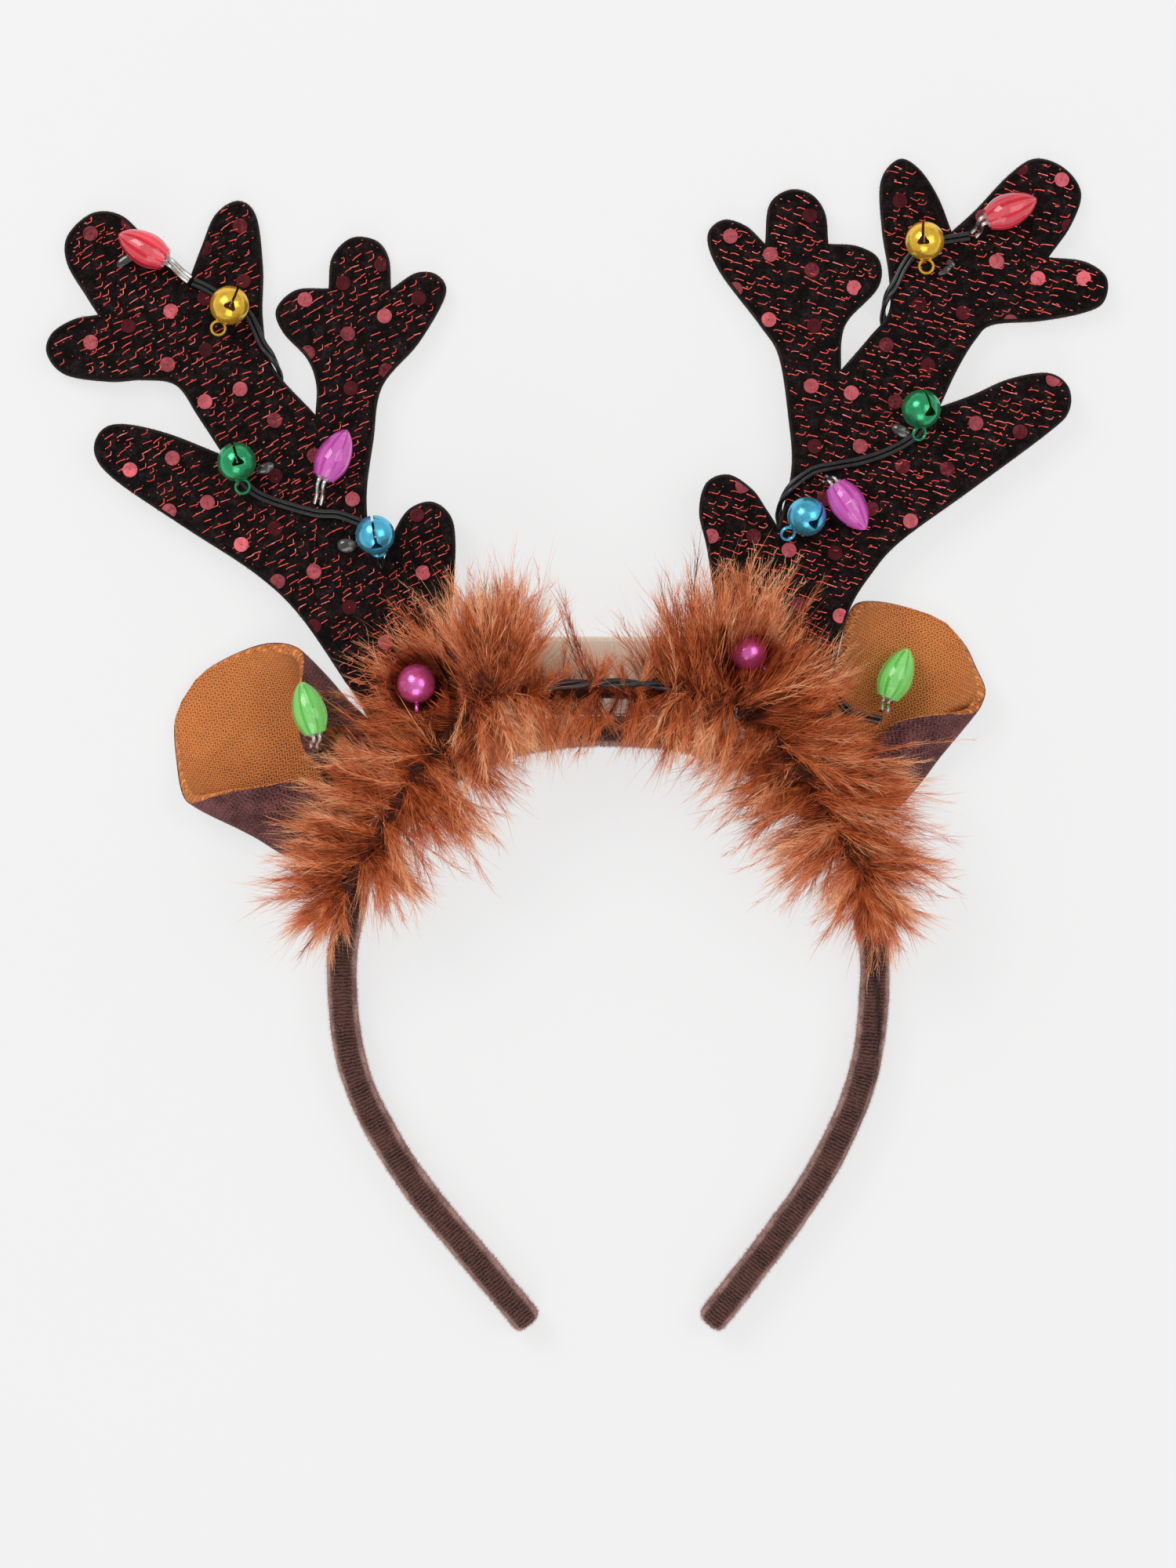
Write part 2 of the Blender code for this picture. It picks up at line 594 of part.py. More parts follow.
class Ear:
    """A cup of cloth rolled round from its back, asked by a share along and an angle."""

    def __init__(self, side, length, half_width, turn, rows):
        self.length = length
        self.half_width = half_width
        self.rows = [dict(zip(EAR_COLUMNS, row)) for row in rows]
        centre, _, out = HOOP.at(side * EAR_SEAT)
        angle = math.radians(turn)
        self.axis = Vector((math.cos(angle), math.sin(angle), 0.0))
        self.upper = Vector((self.axis.y, -self.axis.x, 0.0)) * (1 if side < 0 else -1)
        corners = [self.upper * self.rows[0]["upper"] * half_width,
                   self.upper * -self.rows[0]["lower"] * half_width]
        self.neck = centre
        for _ in range(12):
            near = min(HOOP.distance(self.neck + corner) for corner in corners)
            self.neck = self.neck + out * (BAND_THICK / 2 + GAP - near)

    def place(self, along, across, height):
        """A point at shares along and across the ear, at a height over the table."""
        flat = self.neck + self.axis * along * self.length + self.upper * across * self.half_width
        return Vector((flat.x, flat.y, height))

    def value(self, along, column):
        return np.interp(along, [r["along"] for r in self.rows], [r[column] for r in self.rows])

    def top(self, along):
        """Height of the front of the roll."""
        return EAR_REST + self.value(along, "depth") * EAR_DEPTH

    def ring(self, row, outside, inside):
        """Out over one face and back over the other, both set in from the ear's outside."""
        points = []
        half = row["depth"] * EAR_DEPTH / 2
        for depth, order in ((outside, range(EAR_ACROSS + 1)),
                             (inside, range(EAR_ACROSS, -1, -1))):
            for k in order:
                v = 2 * k / EAR_ACROSS - 1
                roll = row["upper_roll"] if v > 0 else row["lower_roll"]
                width = row["upper"] if v > 0 else row["lower"]
                angle = math.radians(roll * v)
                across = (width * self.half_width - depth) * math.sin(angle)
                height = EAR_REST + half - (half - depth) * math.cos(angle)
                points.append(self.place(row["along"], across / self.half_width, height))
        return points


def build_ear(ear, word):
    velvet = [ear.ring(row, 0.0, VELVET_THICK) for row in ear.rows]
    finish(f"ear_{word}_velvet", loft("ear_velvet", velvet, sheet=True), "velvet", 60.0)
    start = VELVET_THICK + GAP
    lining = [ear.ring(row, start, start + LINING_THICK) for row in ear.rows]
    finish(f"ear_{word}_lining", loft("ear_lining", lining, sheet=True), "tan_twill", 60.0)


# Feather trim

class Trim:
    """The feather trim's core, outside the hoop and in front of the band, feet and ears."""

    def back(self, share):
        s = abs(share)
        over_band = BAND_DEPTH + GAP
        over_feet = over_band + FELT_THICK + CLOTH_THICK + WIRE_THICK + 6 * GAP
        rise = ease(s, 0.06, 0.13) * (1 - ease(s, 0.38, TRIM_END))
        return over_band + (over_feet - over_band) * rise

    def frame(self, share):
        centre, ahead, out = HOOP.at(share)
        side = ease(abs(share), 0.05, 0.24)
        offset = TRIM_CROWN_OFFSET + (TRIM_SIDE_OFFSET - TRIM_CROWN_OFFSET) * side
        height = self.back(share) + TRIM_CORE_DEPTH / 2
        return centre + out * offset + Vector((0, 0, height)), ahead, out

    def front(self, share, outward=0.0):
        """A wire's centre on the trim's front groove."""
        centre, _, out = self.frame(share)
        lift = TRIM_CORE_DEPTH / 2 + GAP + WIRE_THICK / 2
        return (*(centre + out * outward + Vector((0, 0, lift))), 1.0)


TRIM = Trim()


def free_length(start, way, length, bells):
    """How far a lock may run before it comes near a bell."""
    near = BELL_RADIUS + TRIM_CLEAR + TRIM_CORE / 8
    for bell in bells:
        along = max((bell - start).dot(way), 0.0)
        miss = (start + way * along - bell).length
        if miss < near:
            length = min(length, along - math.sqrt(near ** 2 - miss ** 2))
    return length


def build_trim(bells):
    chance = np.random.default_rng(TRIM_SEED)
    shares = np.linspace(-TRIM_END, TRIM_END, TRIM_STATIONS)
    rings = []
    for i, share in enumerate(shares):
        centre, ahead, out = TRIM.frame(share)
        edge = min(i, TRIM_STATIONS - 1 - i)
        size = (0.55, 0.85)[edge] if edge < 2 else 1.0
        ring = []
        for degrees, kind, reach in TRIM_COLUMNS:
            angle = math.radians(degrees)
            across = TRIM_CORE * math.cos(angle)
            lift = TRIM_CORE_DEPTH / 2 * math.sin(angle)
            drift = 0.0
            if kind == ("even", "odd")[i % 2] and edge > 0:
                length = TRIM_REACH * reach * chance.uniform(0.86, 1.05)
                way = out * math.cos(angle) + Vector((0, 0, math.sin(angle) * 0.85))
                length = max(free_length(centre, way, length, bells), TRIM_CORE)
                across = length * math.cos(angle)
                lift = length * math.sin(angle) * 0.85
                drift = chance.uniform(-TRIM_DRIFT, TRIM_DRIFT)
            lift = max(lift * size, -TRIM_CORE_DEPTH / 2)
            ring.append(centre + out * across * size + ahead * drift + Vector((0, 0, lift)))
        rings.append(ring)
    finish("feather_trim", loft("feather_trim", rings), "feather", 30.0)


# Bells

def make_bell_mesh():
    shell = lathe("bell_shell", ball_rows(BELL_RADIUS, 6), 12)
    hollow = lathe("bell_hollow", ball_rows(BELL_RADIUS - BELL_WALL, HOLLOW_RINGS), HOLLOW_SIDES)
    ring_centre = Vector((0, 0, -BELL_RADIUS - BELL_RING + BELL_RING_WIRE))
    bm = bmesh.new()
    around, section = 8, 4
    turns = [[bm.verts.new(ring_centre + Vector((
        BELL_RING_WIRE * math.sin(b),
        (BELL_RING + BELL_RING_WIRE * math.cos(b)) * math.sin(a),
        (BELL_RING + BELL_RING_WIRE * math.cos(b)) * math.cos(a))))
        for b in [2 * math.pi * j / section for j in range(section)]]
        for a in [2 * math.pi * i / around for i in range(around)]]
    for i in range(around):
        for j in range(section):
            here, there = turns[i], turns[(i + 1) % around]
            k = (j + 1) % section
            bm.faces.new((here[j], here[k], there[k], there[j]))
    ring = mesh_from(bm, "bell_ring")
    hole_height = BELL_RADIUS * 0.10
    reach = BELL_RADIUS * 1.5
    slot = box_mesh("bell_slot", (-reach, -BELL_SLOT / 2, hole_height),
                    (reach, BELL_SLOT / 2, reach))
    turns = [2 * math.pi * (k + 0.5) / 6 for k in range(6)]
    sides = [[Vector((x, BELL_HOLE * math.cos(a), hole_height + BELL_HOLE * math.sin(a)))
              for a in turns] for x in (-reach, reach)]
    hole = loft("bell_hole", sides)
    return cut_mesh("bell", shell, joined=[ring], cut=[hollow, slot, hole])


def box_mesh(name, low, high):
    (x0, y0, z0), (x1, y1, z1) = low, high
    rings = [[Vector((x, y, z)) for x, y in ((x0, y0), (x1, y0), (x1, y1), (x0, y1))]
             for z in (z0, z1)]
    return loft(name, rings)


def bell_centre(antler, across, up, on_wire):
    return antler.on(across, up, GAP + on_wire * (WIRE_THICK + GAP) + BELL_RADIUS)


def build_bells(antler, word, bells, bell_mesh, ball_mesh):
    for colour, (across, up, ring_turn, roll, on_wire) in bells.items():
        centre = bell_centre(antler, across, up, on_wire)
        turn = math.radians(ring_turn)
        away = Vector((-math.cos(turn), -math.sin(turn), 0.12))
        mesh = bell_mesh.copy()
        bell = finish(f"bell_{word}_{colour}", mesh, colour)
        bell.matrix_world = pose(centre, away, math.radians(roll))
        flat_share = math.cos(math.pi / HOLLOW_SIDES) * math.cos(math.pi / HOLLOW_RINGS / 2)
        room = (BELL_RADIUS - BELL_WALL) * flat_share - GAP - BALL_RADIUS
        drop = Vector((0, 0, -room))
        ball = finish(f"ball_{word}_{colour}", ball_mesh.copy(), "steel")
        ball.matrix_world = Matrix.Translation(centre + drop)


# Bulbs

def make_cap_mesh():
    outer = [(r * BULB_RADIUS, h * BULB_LENGTH) for r, h in BULB_ROWS]
    inner = [(r - BULB_WALL, h) for r, h in outer[:-1:2]]
    rows = [(0, BULB_LENGTH)] + outer[::-1] + inner + [(0, BULB_LENGTH - 3 * BULB_WALL)]
    return lathe("bulb_cap", rows, 10)


def make_light_mesh():
    top = LIGHT_LENGTH
    rows = [(0, top), (LIGHT_RADIUS * 0.7, top - LIGHT_RADIUS * 0.3),
            (LIGHT_RADIUS, top - LIGHT_RADIUS), (LIGHT_RADIUS, LIGHT_FLANGE),
            (LIGHT_RADIUS, 0), (0, 0)]
    return lathe("light", rows, 8)


def tube_rings(points, radius, sides):
    """Rings of a round tube along a path."""
    turns = [2 * math.pi * k / sides for k in range(sides)]
    across = Vector((0, 0, 1)).cross(points[1] - points[0]).normalized()
    rings = []
    for i, p in enumerate(points):
        ahead = (points[min(i + 1, len(points) - 1)] - points[max(i - 1, 0)]).normalized()
        across = (across - ahead * across.dot(ahead)).normalized()
        up = ahead.cross(across)
        rings.append([p + (across * math.cos(a) + up * math.sin(a)) * radius for a in turns])
    return rings


def build_bulb(word, colour, base, tip, wire_end, cap_mesh, light_mesh):
    axis = (tip - base).normalized()
    cap = finish(f"bulb_{word}_{colour}", cap_mesh.copy(), f"{colour}_plastic", 20.0)
    cap.matrix_world = pose(base, axis)
    frame = pose(base - axis * LIGHT_FLANGE, axis)
    body = light_mesh.copy()
    body.transform(frame)
    out = (wire_end - base).normalized()
    side = axis.cross(Vector((0, 0, 1))).normalized() * LEAD_SPREAD
    end_side = out.cross(Vector((0, 0, 1))).normalized() * LEAD_SPREAD
    if end_side.dot(side) < 0:
        end_side = -end_side
    leads = []
    for sign in (-1, 1):
        path = [base + axis * LIGHT_FLANGE + side * sign,
                base - axis * LIGHT_RADIUS + side * sign,
                wire_end + (base - wire_end) * 0.35 + end_side * sign,
                wire_end + end_side * sign]
        leads.append(loft("lead", tube_rings(path, LEAD_RADIUS, 4)))
    made = cut_mesh(f"light_{word}_{colour}", body, joined=leads)
    finish(f"light_{word}_{colour}", made, "clear_plastic")


def antler_bulbs(antler, word, bulbs, wire_ends, meshes):
    for colour, (base_x, base_y, tip_x, tip_y) in bulbs.items():
        lift = GAP + BULB_RADIUS
        flat_base = antler.flat(base_x, base_y)
        flat_tip = antler.flat(tip_x, tip_y)
        ahead = (flat_tip - flat_base).normalized() * BULB_LENGTH
        base = antler.on(base_x, base_y, lift)
        end = flat_base + ahead
        tip = Vector((end.x, end.y, antler.front(end.y) + lift))
        build_bulb(word, colour, base, tip, wire_ends[colour], *meshes)


def ear_bulb(ear, word, places, height, wire_end, meshes):
    along_base, across_base, along_tip, across_tip = places
    base = ear.place(along_base, across_base, height)
    tip = ear.place(along_tip, across_tip, height)
    build_bulb(word, "green", base, tip, wire_end, *meshes)


# Wires

def build_wire(name, route, outward=1):
    """A flat two-core wire along a route of centres and facings. outward tells on which side
    of its way it turns over an edge: 1 to the left, -1 to the right."""
    half_w, half_t = WIRE_WIDTH / 2, WIRE_THICK / 2
    section = [(half_w, 0), (half_w * 0.55, half_t), (-half_w * 0.55, half_t),
               (-half_w, 0), (-half_w * 0.55, -half_t), (half_w * 0.55, -half_t)]
    fine = smooth_path(route, 10)
    ways = [Vector(b[:3] - a[:3]).normalized() for a, b in zip(fine, fine[1:])]
    ways.append(ways[-1])
    kept = [0]
    for i in range(1, len(fine) - 1):
        far = np.linalg.norm(fine[i][:3] - fine[kept[-1]][:3])
        turned = math.degrees(ways[i].angle(ways[kept[-1]]))
        turned += abs(fine[i][3] - fine[kept[-1]][3]) * 90 / 2
        if far > WIRE_STEP or (turned > WIRE_BEND and far > WIRE_THICK):
            kept.append(i)
    if np.linalg.norm(fine[-1][:3] - fine[kept[-1]][:3]) < WIRE_THICK:
        kept.pop()
    kept.append(len(fine) - 1)
    rings = []
    for i in kept:
        p, ahead = Vector(fine[i][:3]), ways[i]
        turn = math.pi / 2 * min(max(fine[i][3], -1.0), 1.0)
        beside = Vector((0, 0, 1)).cross(ahead).normalized() * outward
        face = Vector((0, 0, 1)) * math.sin(turn) + beside * math.cos(turn)
        face = (face - ahead * face.dot(ahead)).normalized()
        across = ahead.cross(face)
        rings.append([p + across * a + face * b for a, b in section])
    finish(name, loft(name, rings), "black_plastic")


def main():
    for obj in list(bpy.data.objects):
        bpy.data.objects.remove(obj, do_unlink=True)

    build_band()
    build_case()
    left = Antler(-1, LEFT_ANTLER_HEIGHT, LEFT_TINES)
    right = Antler(1, RIGHT_ANTLER_HEIGHT, RIGHT_TINES)
    left_ear = Ear(-1, LEFT_EAR_LENGTH, LEFT_EAR_HALF_WIDTH, LEFT_EAR_TURN, LEFT_EAR_ROWS)
    right_ear = Ear(1, RIGHT_EAR_LENGTH, RIGHT_EAR_HALF_WIDTH, RIGHT_EAR_TURN, RIGHT_EAR_ROWS)
    build_antler(left, "left")
    build_antler(right, "right")
    build_ear(left_ear, "left")
    build_ear(right_ear, "right")

    bell_mesh = make_bell_mesh()
    ball_mesh = lathe("ball", ball_rows(BALL_RADIUS, 4), 8)
    build_bells(left, "left", LEFT_BELLS, bell_mesh, ball_mesh)
    build_bells(right, "right", RIGHT_BELLS, bell_mesh, ball_mesh)
    low_bells = [(antler, bells["pink"]) for antler, bells in
                 ((left, LEFT_BELLS), (right, RIGHT_BELLS))]
    build_trim([bell_centre(antler, row[0], row[1], row[4]) for antler, row in low_bells])

    build_wire("wire_left_top", [left.layer(*row) for row in LEFT_TOP_ROUTE])
    build_wire("wire_left_middle", [left.layer(*row) for row in LEFT_MIDDLE_ROUTE])
    build_wire("wire_left_low", [left.layer(*row) for row in LEFT_LOW_ROUTE])
    build_wire("wire_right_top", [right.layer(*row) for row in RIGHT_TOP_ROUTE], -1)
    build_wire("wire_right_middle", [right.layer(*row) for row in RIGHT_MIDDLE_ROUTE], -1)
    build_wire("wire_right_low", [right.layer(*row) for row in RIGHT_LOW_ROUTE])
    build_wire("wire_crown", [TRIM.front(s) for s in np.linspace(-0.15, 0.15, 12)])

    clear = GAP + WIRE_THICK / 2
    left_height = left_ear.top(0.5) + GAP + BULB_RADIUS
    left_end = left_ear.place(0.36, 0.18, left_height - BULB_RADIUS / 2)
    left_low = BAND_DEPTH + clear
    build_wire("wire_left_ear", [
        (*HOOP.at(-0.300)[0].xy, left_low, 1),
        (*HOOP.at(-0.330)[0].xy, left_low, 1),
        (*left_ear.place(0.04, -0.42, left_low), 1),
        (*left_ear.place(0.16, -0.22, max(left_low, left_ear.top(0.2) + clear)), 1),
        (*left_ear.place(0.27, 0.02, left_ear.top(0.30) + 1.5 * clear), 1),
        (*left_end, 1)])
    right_height = EAR_REST + VELVET_THICK + LINING_THICK + 2 * GAP + BULB_RADIUS
    right_end = right_ear.place(0.43, 0.06, right_ear.top(0.45) + clear)
    build_wire("wire_right_ear", [
        right.layer(0.060, 0.135),
        right.layer(0.128, 0.140),
        (*right_ear.place(0.40, 0.45, right.front(right.flat(0, 0.13).y)), 1),
        (*right_end, 1)])

    meshes = (make_cap_mesh(), make_light_mesh())
    left_ends = {"red": left.on(-0.610, 0.861, clear), "magenta": left.on(-0.294, 0.471, clear)}
    right_ends = {"red": right.on(0.484, 0.874, clear),
                  "magenta": right.on(0.118, 0.478, clear)}
    antler_bulbs(left, "left", LEFT_BULBS, left_ends, meshes)
    antler_bulbs(right, "right", RIGHT_BULBS, right_ends, meshes)
    left_lead_end = left_ear.place(0.385, 0.21, left_height - BULB_RADIUS / 2)
    right_lead_end = right_ear.place(0.475, 0.08, right_ear.top(0.45) + clear)
    ear_bulb(left_ear, "left", LEFT_EAR_BULB, left_height, left_lead_end, meshes)
    ear_bulb(right_ear, "right", RIGHT_EAR_BULB, right_height, right_lead_end, meshes)


main()
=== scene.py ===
from math import atan2, copysign, cos, exp, pi, radians, sin

import bmesh
import bpy
import numpy as np
from mathutils import Matrix, Vector


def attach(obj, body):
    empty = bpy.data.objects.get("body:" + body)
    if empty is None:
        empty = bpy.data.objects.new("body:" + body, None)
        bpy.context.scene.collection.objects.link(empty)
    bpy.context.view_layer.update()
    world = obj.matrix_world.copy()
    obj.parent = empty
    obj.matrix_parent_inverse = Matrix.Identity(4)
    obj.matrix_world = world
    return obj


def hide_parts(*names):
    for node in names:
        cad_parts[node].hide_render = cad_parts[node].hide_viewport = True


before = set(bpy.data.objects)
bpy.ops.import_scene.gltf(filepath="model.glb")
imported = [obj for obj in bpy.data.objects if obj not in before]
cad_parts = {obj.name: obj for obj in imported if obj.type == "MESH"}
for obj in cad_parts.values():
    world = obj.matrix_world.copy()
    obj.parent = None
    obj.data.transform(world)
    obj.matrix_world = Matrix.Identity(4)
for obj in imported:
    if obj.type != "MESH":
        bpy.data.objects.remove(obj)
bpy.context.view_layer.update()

bl_info = {
    "name": "Reindeer antler headband",
    "version": (1, 0, 0),
    "blender": (4, 5, 0),
    "location": "View3D > Sidebar > Headband",
    "description": "Velvet headband with sequin cloth antlers, ears, down trim, bells and bulbs",
    "category": "Add Mesh",
}

# Everything is in metres, in the solids' frame: X right, Y towards the antler tips, Z off the
# table towards the viewer.

GAP = 0.0003
UP = Vector((0, 0, 1))

# Hoop and battery case
HOOP_WIDTH = 0.1224
HOOP_DEPTH = 0.1364
LEFT_LEG_SHIFT = 0.0032
RIGHT_LEG_SHIFT = 0.0018
BAND_THICK = 0.0068
BAND_DEPTH = 0.0095
TIP_ROUND = 0.0024
CASE_HEIGHT = 0.018

# Antlers
ANTLER_WIDTH = 0.0943
LEFT_ANTLER_HEIGHT = 0.1328
RIGHT_ANTLER_HEIGHT = 0.1422
FELT_THICK = 0.0020
CLOTH_THICK = 0.0010
FELT_RIM = 0.0006
ANTLER_SEAT = 0.2185
FOOT_FROM = 0.180
FOOT_TO = 0.272
FOOT_LAP = 0.0022
LUREX_SPAN = 0.26         # of the grid on which the lurex rows are laid

# Ears
LEFT_EAR_LENGTH = 0.0518
LEFT_EAR_HALF_WIDTH = 0.0220
RIGHT_EAR_LENGTH = 0.0476
RIGHT_EAR_HALF_WIDTH = 0.0198
EAR_DEPTH = 0.0180
VELVET_THICK = 0.0010
LINING_THICK = 0.0010
EAR_SEAT = 0.300
LEFT_EAR_TURN = 147.0
RIGHT_EAR_TURN = 62.5
EAR_REST = 0.0004

# Down trim
TRIM_CORE_DEPTH = 0.0110
TRIM_END = 0.455
TRIM_CROWN_OFFSET = 0.0108
TRIM_SIDE_OFFSET = 0.0046
DOWN_LEVEL = 0.033        # what stands higher is laid flatter, by this share of what is over
DOWN_PRESS = 0.6
CLEAR_RADIUS = 0.0054     # the down lies flat round bells and bulbs and rises by this slope
CLEAR_SLOPE = 5.0

# Bells, bulbs and wires
BELL_RADIUS = 0.0045
BELL_WALL = 0.0005
BELL_SLOT = 0.0006
BELL_RING = 0.0016
BELL_RING_WIRE = 0.00035
BALL_RADIUS = 0.0015
BALL_DROP = 0.00171
BULB_LENGTH = 0.0124
BULB_RADIUS = 0.00395
BULB_WALL = 0.0006
LIGHT_RADIUS = 0.0015
LIGHT_LENGTH = 0.0055
LIGHT_FLANGE = 0.0004
LEAD_RADIUS = 0.00048
LEAD_SPREAD = 0.0007
WIRE_WIDTH = 0.0022
WIRE_THICK = 0.0011
CROWN_TWIST = 0.16        # turn of the crown wire's two cores at each step along it

# The picture's height and middle on the table, and the camera's sensor in millimetres
PICTURE_HEIGHT = 0.360
PICTURE_MIDDLE = Vector((-0.00468, -0.02494, 0.008))
SENSOR = 36.0

# Loose fibres: how many on a square metre, how long, how far they lean, and the seed
PILE_DENSITY = 4.0e6
PILE_LEAN = 0.6
FELT_FUZZ = (1.6e6, 0.0006, 1.1, 5)
EAR_FUZZ = (2.2e6, 0.0005, 0.9, 8)

# Half of the hoop from the crown to a tip: across in half widths, down in depths
HOOP_ROWS = [
    (0.000, 0.000), (0.341, 0.017), (0.635, 0.077), (0.900, 0.208), (0.990, 0.345), (1.000, 0.442),
    (0.974, 0.558), (0.925, 0.624), (0.771, 0.756), (0.547, 0.888), (0.347, 1.000),
]

# Antler outlines, a row for each tine up to the crotch after it: across in thousandths of the
# antler's width from the seat on the hoop, and up in thousandths of its height
LEFT_TINES = {
    "long": [(-176, 106), (-229, 165), (-340, 279), (-448, 351), (-620, 431), (-788, 512),
             (-840, 558), (-826, 598), (-773, 611), (-664, 595), (-527, 557)],
    "first hand": [(-588, 623), (-643, 678), (-725, 687), (-803, 684), (-912, 696), (-958, 732),
                   (-947, 768), (-893, 793), (-834, 801)],
    "second hand": [(-863, 833), (-910, 890), (-910, 938), (-851, 978), (-782, 976), (-721, 938),
                    (-613, 859)],
    "third hand": [(-582, 919), (-548, 976), (-492, 1000), (-448, 973), (-431, 881), (-431, 793),
                   (-406, 711), (-302, 627)],
    "first inner": [(-300, 678), (-323, 724), (-382, 770), (-399, 810), (-351, 844), (-271, 847)],
    "second inner": [(-263, 901), (-216, 935), (-156, 931), (-124, 901), (-118, 846)],
    "third inner": [(-57, 874), (-4, 870), (15, 835), (-50, 752), (-139, 676), (-160, 583),
                    (-176, 495), (-170, 427), (-141, 359)],
    "low": [(-109, 424), (-73, 463), (-19, 476), (25, 455), (40, 413), (36, 324), (25, 237),
            (29, 136)],
}
RIGHT_TINES = {
    "low": [(-84, 139), (-141, 259), (-168, 366), (-187, 424), (-170, 472), (-115, 486),
            (-57, 462), (-23, 430), (6, 400)],
    "first inner": [(38, 494), (31, 578), (8, 677), (-38, 728), (-137, 816), (-166, 873),
                    (-128, 900), (-71, 890), (-25, 861)],
    "second inner": [(-15, 924), (34, 949), (88, 942), (122, 911), (130, 861)],
    "third inner": [(202, 857), (254, 835), (252, 790), (181, 739), (162, 706), (160, 656)],
    "first hand": [(229, 709), (277, 751), (277, 810), (260, 886), (258, 963), (302, 999),
                   (351, 984), (397, 939), (431, 881)],
    "second hand": [(492, 918), (569, 972), (635, 1000), (706, 985), (748, 944), (723, 891),
                    (668, 839)],
    "third hand": [(756, 832), (809, 806), (802, 766), (750, 748), (645, 735), (531, 729),
                   (489, 705), (445, 658), (401, 596)],
    "long": [(479, 615), (569, 641), (664, 651), (714, 629), (716, 589), (664, 553), (473, 459),
             (305, 378), (233, 325), (177, 263), (141, 165), (122, 76)],
}

# Ear sections from the neck to the tip: along in ear lengths, upper and lower half width in
# half widths, depth in half depths, and how far each side rolls round, in degrees
EAR_COLUMNS = ("along", "upper", "lower", "depth", "upper_roll", "lower_roll")
LEFT_EAR_ROWS = [
    (0.00, 0.36, 0.48, 0.40, 170, 170),
    (0.10, 0.56, 0.76, 0.43, 170, 170),
    (0.22, 0.73, 0.91, 0.47, 170, 170),
    (0.38, 0.81, 0.93, 0.52, 170, 163),
    (0.48, 0.88, 0.95, 0.62, 160, 150),
    (0.58, 0.94, 0.98, 0.79, 133, 136),
    (0.67, 0.98, 1.00, 0.93, 92, 115),
    (0.75, 0.99, 1.00, 1.00, 72, 79),
    (0.85, 1.00, 1.00, 1.00, 50, 50),
    (0.97, 1.00, 1.00, 1.00, 20, 24),
    (1.00, 1.00, 1.00, 1.00, 7, 10),
]
RIGHT_EAR_ROWS = [
    (0.00, 0.40, 0.40, 0.40, 170, 170),
    (0.10, 0.55, 0.59, 0.42, 160, 170),
    (0.25, 0.64, 0.69, 0.45, 136, 170),
    (0.40, 0.72, 0.75, 0.48, 108, 173),
    (0.50, 0.78, 0.80, 0.55, 96, 161),
    (0.60, 0.84, 0.85, 0.66, 90, 134),
    (0.69, 0.90, 0.89, 0.80, 86, 94),
    (0.78, 0.97, 0.90, 0.90, 82, 75),
    (0.87, 1.00, 0.90, 0.92, 72, 47),
    (0.94, 1.00, 0.90, 0.92, 46, 30),
    (0.98, 1.00, 0.90, 0.92, 24, 16),
    (1.00, 1.00, 0.90, 0.92, 8, 7),
]

# Bulb cover from the open base to the tip: radius in bulb radii, height in bulb lengths
BULB_ROWS = [(0.63, 0.00), (0.73, 0.065), (0.94, 0.225), (1.00, 0.40), (0.89, 0.61),
             (0.61, 0.82), (0.27, 0.95)]

# Bells on the antlers: across and up to the bell, the way its ring points in degrees, the roll
# of its slot in degrees from facing the front, 1 where the wire runs under it, and how far its
# mouth tips towards the front
LEFT_BELLS = {
    "gold": (-0.508, 0.813, 243.0, 8.0, 1, 0.2),
    "green": (-0.489, 0.542, 283.0, 6.0, 1, 0.2),
    "blue": (-0.153, 0.416, 280.0, 0.0, 1, 1.25),
    "pink": (-0.052, 0.159, 270.0, 95.0, 1, 0.12),
}
RIGHT_BELLS = {
    "gold": (0.361, 0.861, 274.0, -8.0, 1, 0.2),
    "green": (0.351, 0.589, 266.0, 28.0, 1, 0.4),
    "blue": (0.073, 0.416, 222.0, 35.0, 0, 0.2),
    "pink": (-0.070, 0.197, 315.0, 90.0, 1, 0.12),
}
# Bulbs on the antlers: the base's place, then the tip's
LEFT_BULBS = {"red": (-0.666, 0.893, -0.779, 0.938), "magenta": (-0.279, 0.515, -0.219, 0.602)}
RIGHT_BULBS = {"red": (0.515, 0.897, 0.639, 0.932), "magenta": (0.143, 0.467, 0.219, 0.392)}
# Bulbs in the ears: base and tip, along in ear lengths and across in half widths
LEFT_EAR_BULB = (0.412, 0.335, 0.592, 0.705)
RIGHT_EAR_BULB = (0.545, 0.115, 0.785, 0.165)

